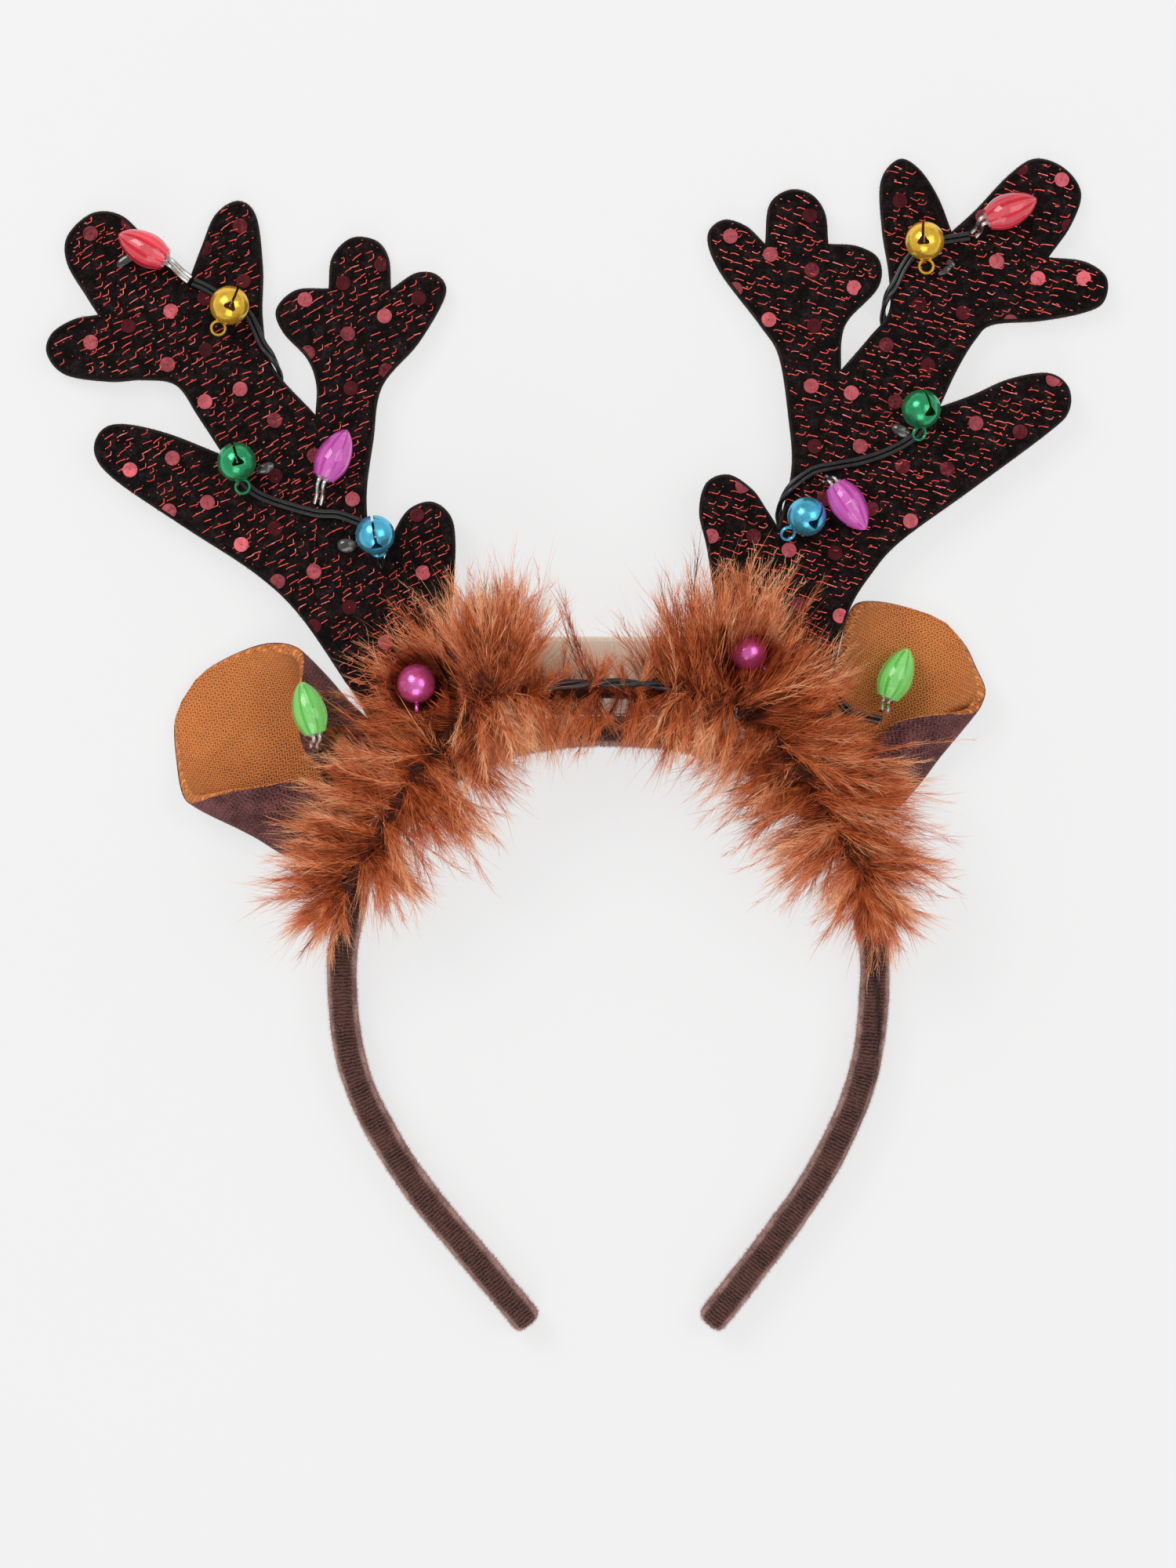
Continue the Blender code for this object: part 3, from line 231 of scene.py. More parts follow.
# Wire routes on the antlers: across and up on the front, or with the layer (1 on the front, -1
# under the back) and the quarter turns by which the flat wire faces the front
WIRE_ROUTES = {
    "left_top": [(-0.6, 0.857), (-0.569, 0.847), (-0.508, 0.821), (-0.468, 0.802),
                 (-0.448, 0.776), (-0.43, 0.748), (-0.409, 0.728, 0.92, 0.5),
                 (-0.394, 0.709, 0, 0), (-0.39, 0.694, -0.92, -0.5), (-0.402, 0.672, -1, -1),
                 (-0.44, 0.623, -1, -1), (-0.477, 0.556, -1, -1)],
    "left_middle": [(-0.494, 0.535), (-0.473, 0.509), (-0.448, 0.491), (-0.41, 0.478),
                    (-0.353, 0.465), (-0.296, 0.455), (-0.248, 0.453), (-0.206, 0.443),
                    (-0.176, 0.434), (-0.161, 0.419, 0.92, 0.5), (-0.152, 0.402, 0, 0),
                    (-0.145, 0.384, -0.92, -0.5), (-0.141, 0.36, -1, -1), (-0.12, 0.31, -1, -1),
                    (-0.067, 0.186, -1, -1)],
    "left_low": [(-0.06, 0.159), (-0.03, 0.159), (-0.004, 0.16)],
    "right_top": [(0.473, 0.872), (0.435, 0.868), (0.378, 0.861), (0.338, 0.845), (0.31, 0.82),
                  (0.292, 0.795), (0.273, 0.775, 0.92, 0.5), (0.264, 0.757, 0, 0),
                  (0.264, 0.74, -0.92, -0.5), (0.276, 0.716, -1, -1), (0.3, 0.672, -1, -1),
                  (0.345, 0.6, -1, -1)],
    "right_middle": [(0.351, 0.592), (0.353, 0.566), (0.336, 0.546), (0.282, 0.525),
                     (0.216, 0.509), (0.149, 0.5), (0.097, 0.493), (0.058, 0.477),
                     (0.029, 0.459, 0.92, 0.5), (0.012, 0.441, 0, 0), (0.008, 0.422, -0.92, -0.5),
                     (0.013, 0.397, -1, -1), (-0.01, 0.342, -1, -1), (-0.066, 0.2, -1, -1)],
    "right_low": [(-0.076, 0.2), (-0.052, 0.186), (-0.032, 0.174)],
}
# Sequins on the cloth: X and Y in millimetres, then the tone from dark maroon to bright rose, a
# painted shade and reflection
LEFT_SEQUINS = [
    (-119.2, 101.8, 0.5), (-84.8, 103.6, 0.35), (-110.3, 80.4, 0.2), (-119.0, 76.6, 0.75),
    (-100.6, 83.8, 0.9), (-101.3, 71.5, 0.7), (-92.9, 86.8, 0.2), (-92.5, 74.8, 0.02),
    (-92.7, 62.9, 0.85), (-84.6, 65.8, 0.75), (-76.7, 58.6, 0.5), (-67.5, 50.5, 0.5),
    (-76.5, 45.8, 0.15), (-76.5, 33.7, 0.2), (-109.8, 47.2, 0.95), (-100.1, 49.9, 0.75),
    (-92.0, 39.7, 0.75), (-100.8, 37.7, 0.75), (-84.2, 30.0, 0.95), (-67.5, 23.8, 0.75),
    (-59.4, 15.6, 0.2), (-51.1, 7.5, 0.75), (-42.5, 23.5, 0.8), (-43.9, 36.8, 0.2),
    (-59.2, 66.0, 0.2), (-59.9, 78.6, 0.5), (-51.5, 82.7, 0.75), (-69.8, 86.5, 0.75),
    (-43.6, 86.8, 0.2), (-52.2, 94.6, 0.15), (-61.0, 90.3, 0.2), (-69.1, 74.2, 0.5),
    (-51.1, 70.1, 0.4), (-58.7, 40.4, 0.7), (-75.8, 21.5, 0.6), (-67.5, 11.2, 0.3),
    (-83.9, 90.8, 0.2), (-92.9, 98.4, 0.15), (-110.5, 104.3, 0.3),
]
RIGHT_SEQUINS = [
    (28.1, 101.1, 0.75), (37.3, 96.9, 0.7), (46.4, 105.9, 0.15), (46.8, 93.3, 0.4),
    (56.5, 89.2, 0.85), (29.2, 88.8, 0.6), (36.9, 81.8, 0.9), (47.3, 80.4, 0.2),
    (46.6, 66.5, 0.75), (55.8, 64.9, 0.85), (47.3, 52.6, 0.2), (57.8, 52.6, 0.65),
    (67.1, 109.3, 0.2), (78.3, 107.9, 0.2), (71.5, 85.4, 0.1), (81.5, 83.4, 0.3),
    (63.9, 76.0, 0.4), (73.4, 71.2, 0.25), (89.3, 95.3, 0.85), (98.8, 91.3, 0.95),
    (109.3, 91.3, 0.95), (104.4, 114.2, 0.85), (95.0, 116.9, 0.25), (106.0, 103.4, 0.2),
    (86.2, 105.6, 0.6), (92.5, 81.3, 0.6), (102.2, 68.1, 0.7), (94.5, 55.9, 0.35),
    (84.4, 57.9, 0.6), (77.8, 47.4, 0.4), (67.5, 48.0, 0.4), (69.3, 35.4, 0.85),
    (60.3, 38.2, 0.4), (49.5, 40.4, 0.35), (65.9, 62.9, 0.4), (41.4, 28.7, 0.8),
    (52.0, 28.0, 0.15), (33.3, 31.9, 0.35), (23.6, 31.9, 0.75), (30.8, 43.5, 0.6),
    (43.7, 16.3, 0.45), (53.1, 13.6, 0.95),
]

# Tufts of the down trim, clockwise round the core and then down its left side: X and Y of the
# root, X and Y of the tip in millimetres, and how full the tuft is
TUFTS = [
    (-32.0, -0.1, -38.9, 21.5, 0.5), (-31.7, 0.6, -32.4, 28.0, 1), (-27.7, 1.7, -27.7, 29.1, 1.1),
    (-24.5, 1.2, -22.3, 28.3, 1.1), (-21.8, 0.3, -13.7, 24.7, 0.8),
    (-15.5, -1.2, -12.0, 19.7, 0.3), (-6.5, -1.9, -5.0, 22.8, 0.42), (2.5, -1.9, 4.3, 26.4, 0.42),
    (11.2, -1.5, 10.8, 21.5, 0.7), (16.2, -1.5, 14.4, 25.5, 0.7), (20.9, -0.8, 20.2, 29.4, 1),
    (25.6, -0.1, 26.8, 30.9, 1.1), (29.5, 0.3, 33.5, 30.5, 1.1), (32.4, -0.8, 40.3, 24.4, 1),
    (33.5, -3.3, 47.5, 18.3, 0.7), (35.8, -6.0, 54.4, 11.1, 0.8), (37.6, -7.8, 56.9, 2.8, 0.8),
    (40.3, -12.3, 60.1, -7.3, 0.8), (40.3, -15.9, 64.8, -17.4, 0.9),
    (42.5, -21.3, 73.1, -22.2, 1), (45.7, -26.4, 77.4, -31.4, 1), (49.3, -32.1, 81.0, -39.0, 1),
    (53.3, -39.0, 81.4, -47.3, 0.9), (56.2, -44.0, 77.0, -55.9, 0.9),
    (58.0, -48.0, 69.8, -63.5, 0.8), (58.7, -49.8, 61.9, -65.6, 0.5),
    (56.9, -48.0, 52.2, -59.5, 0.6), (53.3, -42.9, 43.2, -55.9, 0.9),
    (49.3, -37.5, 33.8, -49.8, 1), (45.4, -32.1, 28.8, -42.9, 1), (40.7, -25.3, 25.9, -36.8, 1),
    (36.7, -18.1, 22.3, -32.1, 0.9), (31.3, -12.3, 17.3, -26.0, 1.1),
    (23.2, -8.4, 14.8, -22.2, 1.1), (15.5, -7.5, 10.1, -21.0, 0.9), (5.2, -6.6, 3.6, -21.0, 0.8),
    (-5.6, -6.6, -6.1, -21.0, 0.8), (-14.6, -6.9, -15.5, -20.6, 0.85),
    (-22.3, -7.3, -20.9, -21.0, 0.95), (-27.7, -7.7, -20.2, -25.7, 1.1),
    (-33.1, -9.1, -22.3, -28.9, 1.1), (-38.5, -14.1, -23.4, -35.7, 1),
    (-42.1, -19.5, -24.5, -44.0, 1.1), (-45.7, -25.7, -31.7, -45.8, 1),
    (-49.3, -32.1, -36.7, -50.5, 0.9), (-52.6, -39.3, -42.1, -55.9, 0.8),
    (-54.7, -43.7, -49.3, -55.2, 0.5), (-32.0, -1.9, -46.1, 12.9, 0.5),
    (-34.9, -4.8, -55.1, 10.0, 0.55), (-38.5, -8.4, -60.1, 2.8, 0.65),
    (-42.1, -12.3, -64.1, -3.3, 0.7), (-45.7, -16.3, -68.4, -11.6, 0.8),
    (-49.3, -21.3, -71.6, -19.9, 0.9), (-51.5, -26.7, -72.7, -27.8, 0.9),
    (-54.4, -33.6, -75.2, -32.1, 0.9), (-57.2, -39.3, -78.5, -36.8, 0.8),
    (-59.0, -43.3, -81.7, -45.1, 0.7), (-61.9, -46.9, -78.8, -53.0, 0.9),
    (-63.7, -50.5, -73.4, -61.7, 1), (-62.3, -52.3, -65.5, -65.6, 1),
]
# The line from which the down grows, from the left end to the right one: X and Y in millimetres
ROOT_ROWS = [
    (-63.0, -54.0), (-58.5, -46.0), (-54.0, -39.0), (-49.0, -31.0), (-44.0, -22.0), (-37.5, -15.0),
    (-31.8, -8.0), (-25.0, -4.8), (-13.0, -4.2), (0.0, -4.0), (13.0, -4.2), (25.0, -4.8),
    (33.0, -8.0), (39.5, -15.5), (45.0, -23.5), (51.0, -32.0), (56.0, -41.0), (60.0, -50.0),
]
# Where the wire on the crown shows through the down: X in millimetres, from and to
WIRE_GLIMPSES = [(-13.0, -4.0), (7.0, 13.5)]

# Glue blobs on the cloth: X, Y, length, width and height in millimetres, and the turn in degrees
GLUE_ROWS = {
    "left": [(-78.8, 47.6, 4.6, 2.6, 1.6, 20), (-60.1, 29.6, 3.6, 4.2, 2.2, 70),
             (-110.9, 95.7, 6.0, 2.4, 1.2, 35)],
    "right": [(67.3, 56.1, 5.0, 3.0, 1.8, -25), (77.2, 93.0, 3.6, 1.6, 1.2, 40),
              (78.7, 94.8, 2.6, 1.8, 1.0, -30), (89.8, 107.9, 5.0, 2.2, 1.0, 30)],
}


def smooth_path(points, steps):
    """Points along a smooth curve through the given ones."""
    p = [np.array(q, float) for q in points]
    p = [2 * p[0] - p[1]] + p + [2 * p[-1] - p[-2]]
    out = []
    for a, b, c, d in zip(p, p[1:], p[2:], p[3:]):
        for k in range(steps):
            t = k / steps
            out.append(0.5 * (2 * b + (c - a) * t + (2 * a - 5 * b + 4 * c - d) * t * t
                              + (3 * b - a - 3 * c + d) * t ** 3))
    out.append(p[-2])
    return out


def ease(value, start, end):
    """0 before start, 1 after end and a smooth step between."""
    t = min(max((value - start) / (end - start), 0.0), 1.0)
    return t * t * (3 - 2 * t)


class Hoop:
    """The band's centreline, asked by a share of the half length: -1 left tip, 1 right tip."""

    def __init__(self):
        crown_y = -(CASE_HEIGHT / 2 + GAP + BAND_THICK / 2)
        half = [(x * HOOP_WIDTH / 2, crown_y - y * HOOP_DEPTH) for x, y in HOOP_ROWS]
        full = [(-x, y) for x, y in reversed(half[1:])] + half
        points = np.array(smooth_path(full, 16))
        down = (crown_y - points[:, 1]) / HOOP_DEPTH
        for i, d in enumerate(down):
            shift = LEFT_LEG_SHIFT if points[i, 0] < 0 else RIGHT_LEG_SHIFT
            points[i, 0] += shift * ease(d, 0.5, 1.0)
        steps = np.hypot(*np.diff(points, axis=0).T)
        arc = np.concatenate([[0.0], np.cumsum(steps)])
        crown = len(points) // 2
        left, right = arc[crown], arc[-1] - arc[crown]
        self.points = points
        self.half_length = right
        self.share = np.where(arc < left, (arc - left) / left, (arc - left) / right)

    def at(self, share):
        """Centre, direction towards the right tip and outward direction there."""
        def place(s):
            s = min(max(s, -1.0), 1.0)
            return Vector((np.interp(s, self.share, self.points[:, 0]),
                           np.interp(s, self.share, self.points[:, 1]), 0.0))
        ahead = (place(share + 0.006) - place(share - 0.006)).normalized()
        return place(share), ahead, Vector((-ahead.y, ahead.x, 0.0))

    def distance(self, point):
        """From the centreline to a point outside the hoop, or less than 0 inside it."""
        gone = np.array((point.x, point.y)) - self.points
        nearest = int(np.argmin(np.hypot(*gone.T)))
        _, _, out = self.at(self.share[nearest])
        return out.x * gone[nearest, 0] + out.y * gone[nearest, 1]


HOOP = Hoop()


class Antler:
    """One antler's outline and the heights of its layers. It leans back from the band's front
    until its highest tine touches the table."""

    def __init__(self, side, height, tines):
        self.height = height
        self.tines = list(tines.values())
        self.seat = HOOP.at(side * ANTLER_SEAT)[0]
        crown_foot, _, crown_out = HOOP.at(side * FOOT_FROM)
        outer_foot, _, outer_out = HOOP.at(side * FOOT_TO)
        self.hinge = crown_foot.y
        crown_foot = crown_foot - crown_out * FOOT_LAP
        outer_foot = outer_foot - outer_out * FOOT_LAP
        self.feet = (outer_foot, crown_foot) if side < 0 else (crown_foot, outer_foot)
        self.lean = (BAND_DEPTH + GAP) / (self.seat.y + height - self.hinge)

    def flat(self, across, up):
        return Vector((self.seat.x + across * ANTLER_WIDTH, self.seat.y + up * self.height, 0.0))

    def back(self, y):
        return BAND_DEPTH + GAP - self.lean * (y - self.hinge)

    def front(self, y):
        return self.back(y) + FELT_THICK + GAP + CLOTH_THICK

    def on(self, across, up, lift):
        """A place over the cloth, lift above its face."""
        p = self.flat(across, up)
        return Vector((p.x, p.y, self.front(p.y) + lift))

    def layer(self, across, up, level=1.0, facing=1.0):
        """A wire's centre and its facing: level 1 lies on the front, -1 under the back."""
        p = self.flat(across, up)
        clear = GAP + WIRE_THICK / 2
        low, high = self.back(p.y) - clear, self.front(p.y) + clear
        return (p.x, p.y, (low + high) / 2 + level * (high - low) / 2, facing)

    def outline(self, steps):
        points, corner = [], tuple(self.feet[0].xy)
        for tine in self.tines:
            row = [corner] + [tuple(self.flat(x / 1000, y / 1000).xy) for x, y in tine]
            if tine is self.tines[-1]:
                row.append(tuple(self.feet[1].xy))
            points += smooth_path(row, steps)[:-1]
            corner = row[-1]
        return points + [np.array(corner)]


def inset(points, distance):
    """The closed outline moved inwards; it runs clockwise."""
    out = []
    count = len(points)
    for i in range(count):
        a, b, c = points[i - 1], points[i], points[(i + 1) % count]
        before = (b - a) / np.linalg.norm(b - a)
        after = (c - b) / np.linalg.norm(c - b)
        normal = np.array([before[1] + after[1], -before[0] - after[0]])
        length = np.linalg.norm(normal)
        normal = normal / length if length > 0.2 else np.array([before[1], -before[0]])
        miter = min(1.0 / max(length / 2, 0.2), 1.35)
        out.append(b + normal * distance * miter)
    return out


class Ear:
    """A cup of cloth rolled round from its back, asked by a share along and an angle."""

    def __init__(self, side, length, half_width, turn, rows):
        self.length = length
        self.half_width = half_width
        self.rows = [dict(zip(EAR_COLUMNS, row)) for row in rows]
        centre, _, out = HOOP.at(side * EAR_SEAT)
        angle = radians(turn)
        self.axis = Vector((cos(angle), sin(angle), 0.0))
        self.upper = Vector((self.axis.y, -self.axis.x, 0.0)) * (1 if side < 0 else -1)
        corners = [self.upper * self.rows[0]["upper"] * half_width,
                   self.upper * -self.rows[0]["lower"] * half_width]
        self.neck = centre
        for _ in range(12):
            near = min(HOOP.distance(self.neck + corner) for corner in corners)
            self.neck = self.neck + out * (BAND_THICK / 2 + GAP - near)

    def place(self, along, across, height):
        """A point at shares along and across the ear, at a height over the table."""
        flat = self.neck + self.axis * along * self.length + self.upper * across * self.half_width
        return Vector((flat.x, flat.y, height))

    def value(self, along, column):
        return np.interp(along, [r["along"] for r in self.rows], [r[column] for r in self.rows])

    def top(self, along):
        """Height of the front of the roll."""
        return EAR_REST + self.value(along, "depth") * EAR_DEPTH


class Trim:
    """The feather trim's core, outside the hoop and in front of the band, feet and ears."""

    def back(self, share):
        s = abs(share)
        over_band = BAND_DEPTH + GAP
        over_feet = over_band + FELT_THICK + CLOTH_THICK + WIRE_THICK + 6 * GAP
        rise = ease(s, 0.06, 0.13) * (1 - ease(s, 0.38, TRIM_END))
        return over_band + (over_feet - over_band) * rise

    def place(self, share):
        centre, _, out = HOOP.at(share)
        side = ease(abs(share), 0.05, 0.24)
        offset = TRIM_CROWN_OFFSET + (TRIM_SIDE_OFFSET - TRIM_CROWN_OFFSET) * side
        height = self.back(share) + TRIM_CORE_DEPTH / 2
        return centre + out * offset + UP * height

    def front(self, share):
        """A wire's centre on the trim's front groove, and its facing."""
        lift = TRIM_CORE_DEPTH / 2 + GAP + WIRE_THICK / 2
        return (*(self.place(share) + UP * lift), 1.0)


TRIM = Trim()
ROOT_LINE = np.array(smooth_path(ROOT_ROWS, 8)) / 1000


# Node trees

class Value:
    """A value in a node tree. Sums and products of values make the nodes for them."""

    def __init__(self, tree, socket):
        self.tree, self.socket = tree, socket

    def __add__(self, other):
        return self.tree.join("ADD", self, other)

    def __sub__(self, other):
        return self.tree.join("SUBTRACT", self, other)

    def __rsub__(self, other):
        return self.tree.join("SUBTRACT", other, self)

    def __mul__(self, other):
        return self.tree.join("MULTIPLY", self, other)

    def __truediv__(self, other):
        return self.tree.join("DIVIDE", self, other)

    def __rtruediv__(self, other):
        return self.tree.join("DIVIDE", other, self)


class Tree:
    """A node tree written one call at a time. Inputs and outputs hold a socket type or a default
    number by name."""

    def __init__(self, tree, inputs=(), outputs=()):
        self.tree = tree
        for rows, way in ((inputs, "INPUT"), (outputs, "OUTPUT")):
            for label in rows:
                given = rows[label]
                kind = given if isinstance(given, str) else type(given).__name__.title()
                made = tree.interface.new_socket(name=label.replace("_", " ").title(), in_out=way,
                                                 socket_type="NodeSocket" + kind)
                if kind != given:
                    made.default_value = given
        if inputs:
            sockets = tree.nodes.new("NodeGroupInput").outputs
            self.given = [Value(self, s) for s in sockets[:len(inputs)]]
        if outputs:
            self.result = tree.nodes.new("NodeGroupOutput").inputs

    def node(self, kind, values=(), **settings):
        """A new node, its inputs set by name or by place among those in use."""
        made = self.tree.nodes.new(kind)
        for name, value in settings.items():
            setattr(made, name, value)
        used = [s for s in made.inputs if s.enabled]
        for name, value in dict(values).items():
            self.put(used[name] if isinstance(name, int)
                     else next(s for s in used if s.name == name), value)
        return made

    def put(self, socket, value):
        if isinstance(value, bpy.types.Node):
            value = self.out(value)
        if isinstance(value, Value):
            self.tree.links.new(value.socket, socket)
        else:
            socket.default_value = value

    def out(self, node, name=None):
        """A node's named output, or its first one in use."""
        return Value(self, next(s for s in node.outputs if s.enabled and name in (None, s.name)))

    def get(self, kind, values=(), name=None, **settings):
        return self.out(self.node(kind, values, **settings), name)

    def math(self, operation, *values):
        return self.get("ShaderNodeMath", dict(enumerate(values)), operation=operation)

    def vector(self, operation, *values):
        return self.get("ShaderNodeVectorMath", dict(enumerate(values)), operation=operation)

    def join(self, operation, a, b):
        """The sum or product of two values, of which one or both may be vectors."""
        wide = [v for v in (a, b) if isinstance(v, Value) and v.socket.type == "VECTOR"]
        if not wide:
            return self.math(operation, a, b)
        if operation == "MULTIPLY" and len(wide) == 1:
            return self.vector("SCALE", wide[0], b if wide[0] is a else a)
        return self.vector(operation, a, b)

    def split(self, vector):
        return [Value(self, s) for s in self.node("ShaderNodeSeparateXYZ", {0: vector}).outputs]

    def xyz(self, x=0.0, y=0.0, z=0.0):
        return self.get("ShaderNodeCombineXYZ", {0: x, 1: y, 2: z})

    def noise(self, vector, scale, detail=2.0):
        return self.get("ShaderNodeTexNoise", {"Vector": vector, "Scale": scale,
                                               "Detail": detail}, "Fac")

    def ramp(self, factor, stops):
        made = self.node("ShaderNodeValToRGB", {"Fac": factor})
        points = made.color_ramp.elements
        while len(points) < len(stops):
            points.new(0.5)
        for point, (place, colour) in zip(points, stops):
            point.position = place
            point.color = (*colour, 1.0)
        return self.out(made, "Color")

    def spread(self, value, low, high, new_low=0.0, new_high=1.0):
        return self.get("ShaderNodeMapRange", {"Value": value, "From Min": low, "From Max": high,
                                               "To Min": new_low, "To Max": new_high}, "Result")

    def blend(self, factor, a, b, kind="RGBA"):
        return self.get("ShaderNodeMix", {"Factor": factor, "A": a, "B": b}, "Result",
                        data_type=kind)

    # Geometry
    def attribute(self, name, kind="FLOAT"):
        return self.get("GeometryNodeInputNamedAttribute", {"Name": name}, "Attribute",
                        data_type=kind)

    def store(self, geometry, name, value, kind="FLOAT", domain="POINT"):
        return self.get("GeometryNodeStoreNamedAttribute", {
            "Geometry": geometry, "Name": name, "Value": value}, data_type=kind, domain=domain)

    def chance(self, low, high, seed):
        kind = {tuple: "FLOAT_VECTOR", float: "FLOAT", int: "INT"}[type(low)]
        return self.get("FunctionNodeRandomValue", {"Min": low, "Max": high, "Seed": seed},
                        data_type=kind)

    def place(self):
        return self.get("GeometryNodeInputPosition")

    def moved(self, geometry, place):
        return self.get("GeometryNodeSetPosition", {"Geometry": geometry, "Position": place})

    def shape(self, tool, single=False):
        return self.get("GeometryNodeObjectInfo", {"Object": tool, "As Instance": single},
                        "Geometry")

    def placed(self, points, shape, **more):
        return self.get("GeometryNodeInstanceOnPoints", {
            "Points": points, "Instance": shape,
            **{name.replace("_", " ").title(): value for name, value in more.items()}})

    def dropped(self, target, start, reach):
        """A node that looks straight down for a surface."""
        return self.node("GeometryNodeRaycast", {
            "Target Geometry": target, "Source Position": start,
            "Ray Direction": (0.0, 0.0, -1.0), "Ray Length": reach}, data_type="FLOAT")


ANY_WAY = ((-1, -1, -1), (1, 1, 1))


def geometry_tree(name, **inputs):
    return Tree(bpy.data.node_groups.new(name, "GeometryNodeTree"), inputs, {"mesh": "Geometry"})


def finish_tree(t, geometry, material):
    real = t.node("GeometryNodeRealizeInstances", {"Geometry": geometry})
    t.put(t.result[0], t.node("GeometryNodeSetMaterial", {"Geometry": real,
                                                          "Material": material}))
    return t.tree


def linked(name, data):
    obj = bpy.data.objects.new(name, data)
    bpy.context.collection.objects.link(obj)
    return obj


def grown(name, tree, mesh, **values):
    """The plain mesh that a node tree makes on a mesh, its inputs set by name."""
    host = linked(name, mesh)
    step = host.modifiers.new("Growth", "NODES")
    step.node_group = tree
    for item in tree.interface.items_tree:
        key = item.name.lower().replace(" ", "_")
        if item.item_type == "SOCKET" and item.in_out == "INPUT" and key in values:
            step[item.identifier] = values[key]
    graph = bpy.context.evaluated_depsgraph_get()
    made = bpy.data.meshes.new_from_object(host.evaluated_get(graph),
                                           preserve_all_data_layers=True, depsgraph=graph)
    host.modifiers.remove(step)
    bpy.data.objects.remove(host)
    made.name = name
    made.materials.clear()
    return made


TOOLS = []


def tool_object(name, mesh):
    """An unlinked object that a node tree takes as an input, removed at the end."""
    TOOLS.append(bpy.data.objects.new(name, mesh))
    return TOOLS[-1]


def baked(bm, name):
    """The plain mesh of a bmesh, which is freed."""
    mesh = bpy.data.meshes.new(name)
    bm.to_mesh(mesh)
    bm.free()
    return mesh


def plain_mesh(name, points, edges=(), faces=()):
    mesh = bpy.data.meshes.new(name)
    mesh.from_pydata(points, edges, faces)
    return mesh


def mark(mesh, name, values, kind="FLOAT"):
    """Keeps a number or a vector for each vertex of a mesh under a name."""
    layer = mesh.attributes.new(name, kind, "POINT")
    layer.data.foreach_set("value" if kind == "FLOAT" else "vector", values)


def flat_strip(name, points, widths):
    """A narrow strip of faces along points, lying flat."""
    vertices, faces = [], []
    for i, p in enumerate(points):
        p = Vector(p)
        ahead = Vector(points[min(i + 1, len(points) - 1)]) - Vector(points[max(i - 1, 0)])
        side = UP.cross(ahead).normalized() * widths[i] / 2
        vertices += [p + side, p - side]
        if i:
            k = 2 * i
            faces.append((k - 2, k - 1, k + 1, k))
    return plain_mesh(name, vertices, faces=faces)


def fuzz_tree():
    """Short fibres standing on a surface."""
    t = geometry_tree("Fuzz", surface="Geometry", fibre="Object", density=1.0e6, length=0.001,
                      lean=0.5, seed=1, material="Material")
    surface, fibre, density, length, lean, seed, material = t.given
    points = t.node("GeometryNodeDistributePointsOnFaces",
                    {"Mesh": surface, "Density": density, "Seed": seed})
    way = t.vector("NORMALIZE", t.out(points, "Normal") + t.chance(*ANY_WAY, 11) * lean)
    turn = t.node("FunctionNodeAlignRotationToVector", {"Vector": way}, axis="Z")
    size = t.xyz(length, length, length * t.chance(0.45, 1.0, 12))
    fibres = t.placed(points, t.shape(fibre), rotation=turn, scale=size)
    toned = t.store(fibres, "tone", t.chance(0.0, 1.0, 13), domain="INSTANCE")
    return finish_tree(t, toned, material)


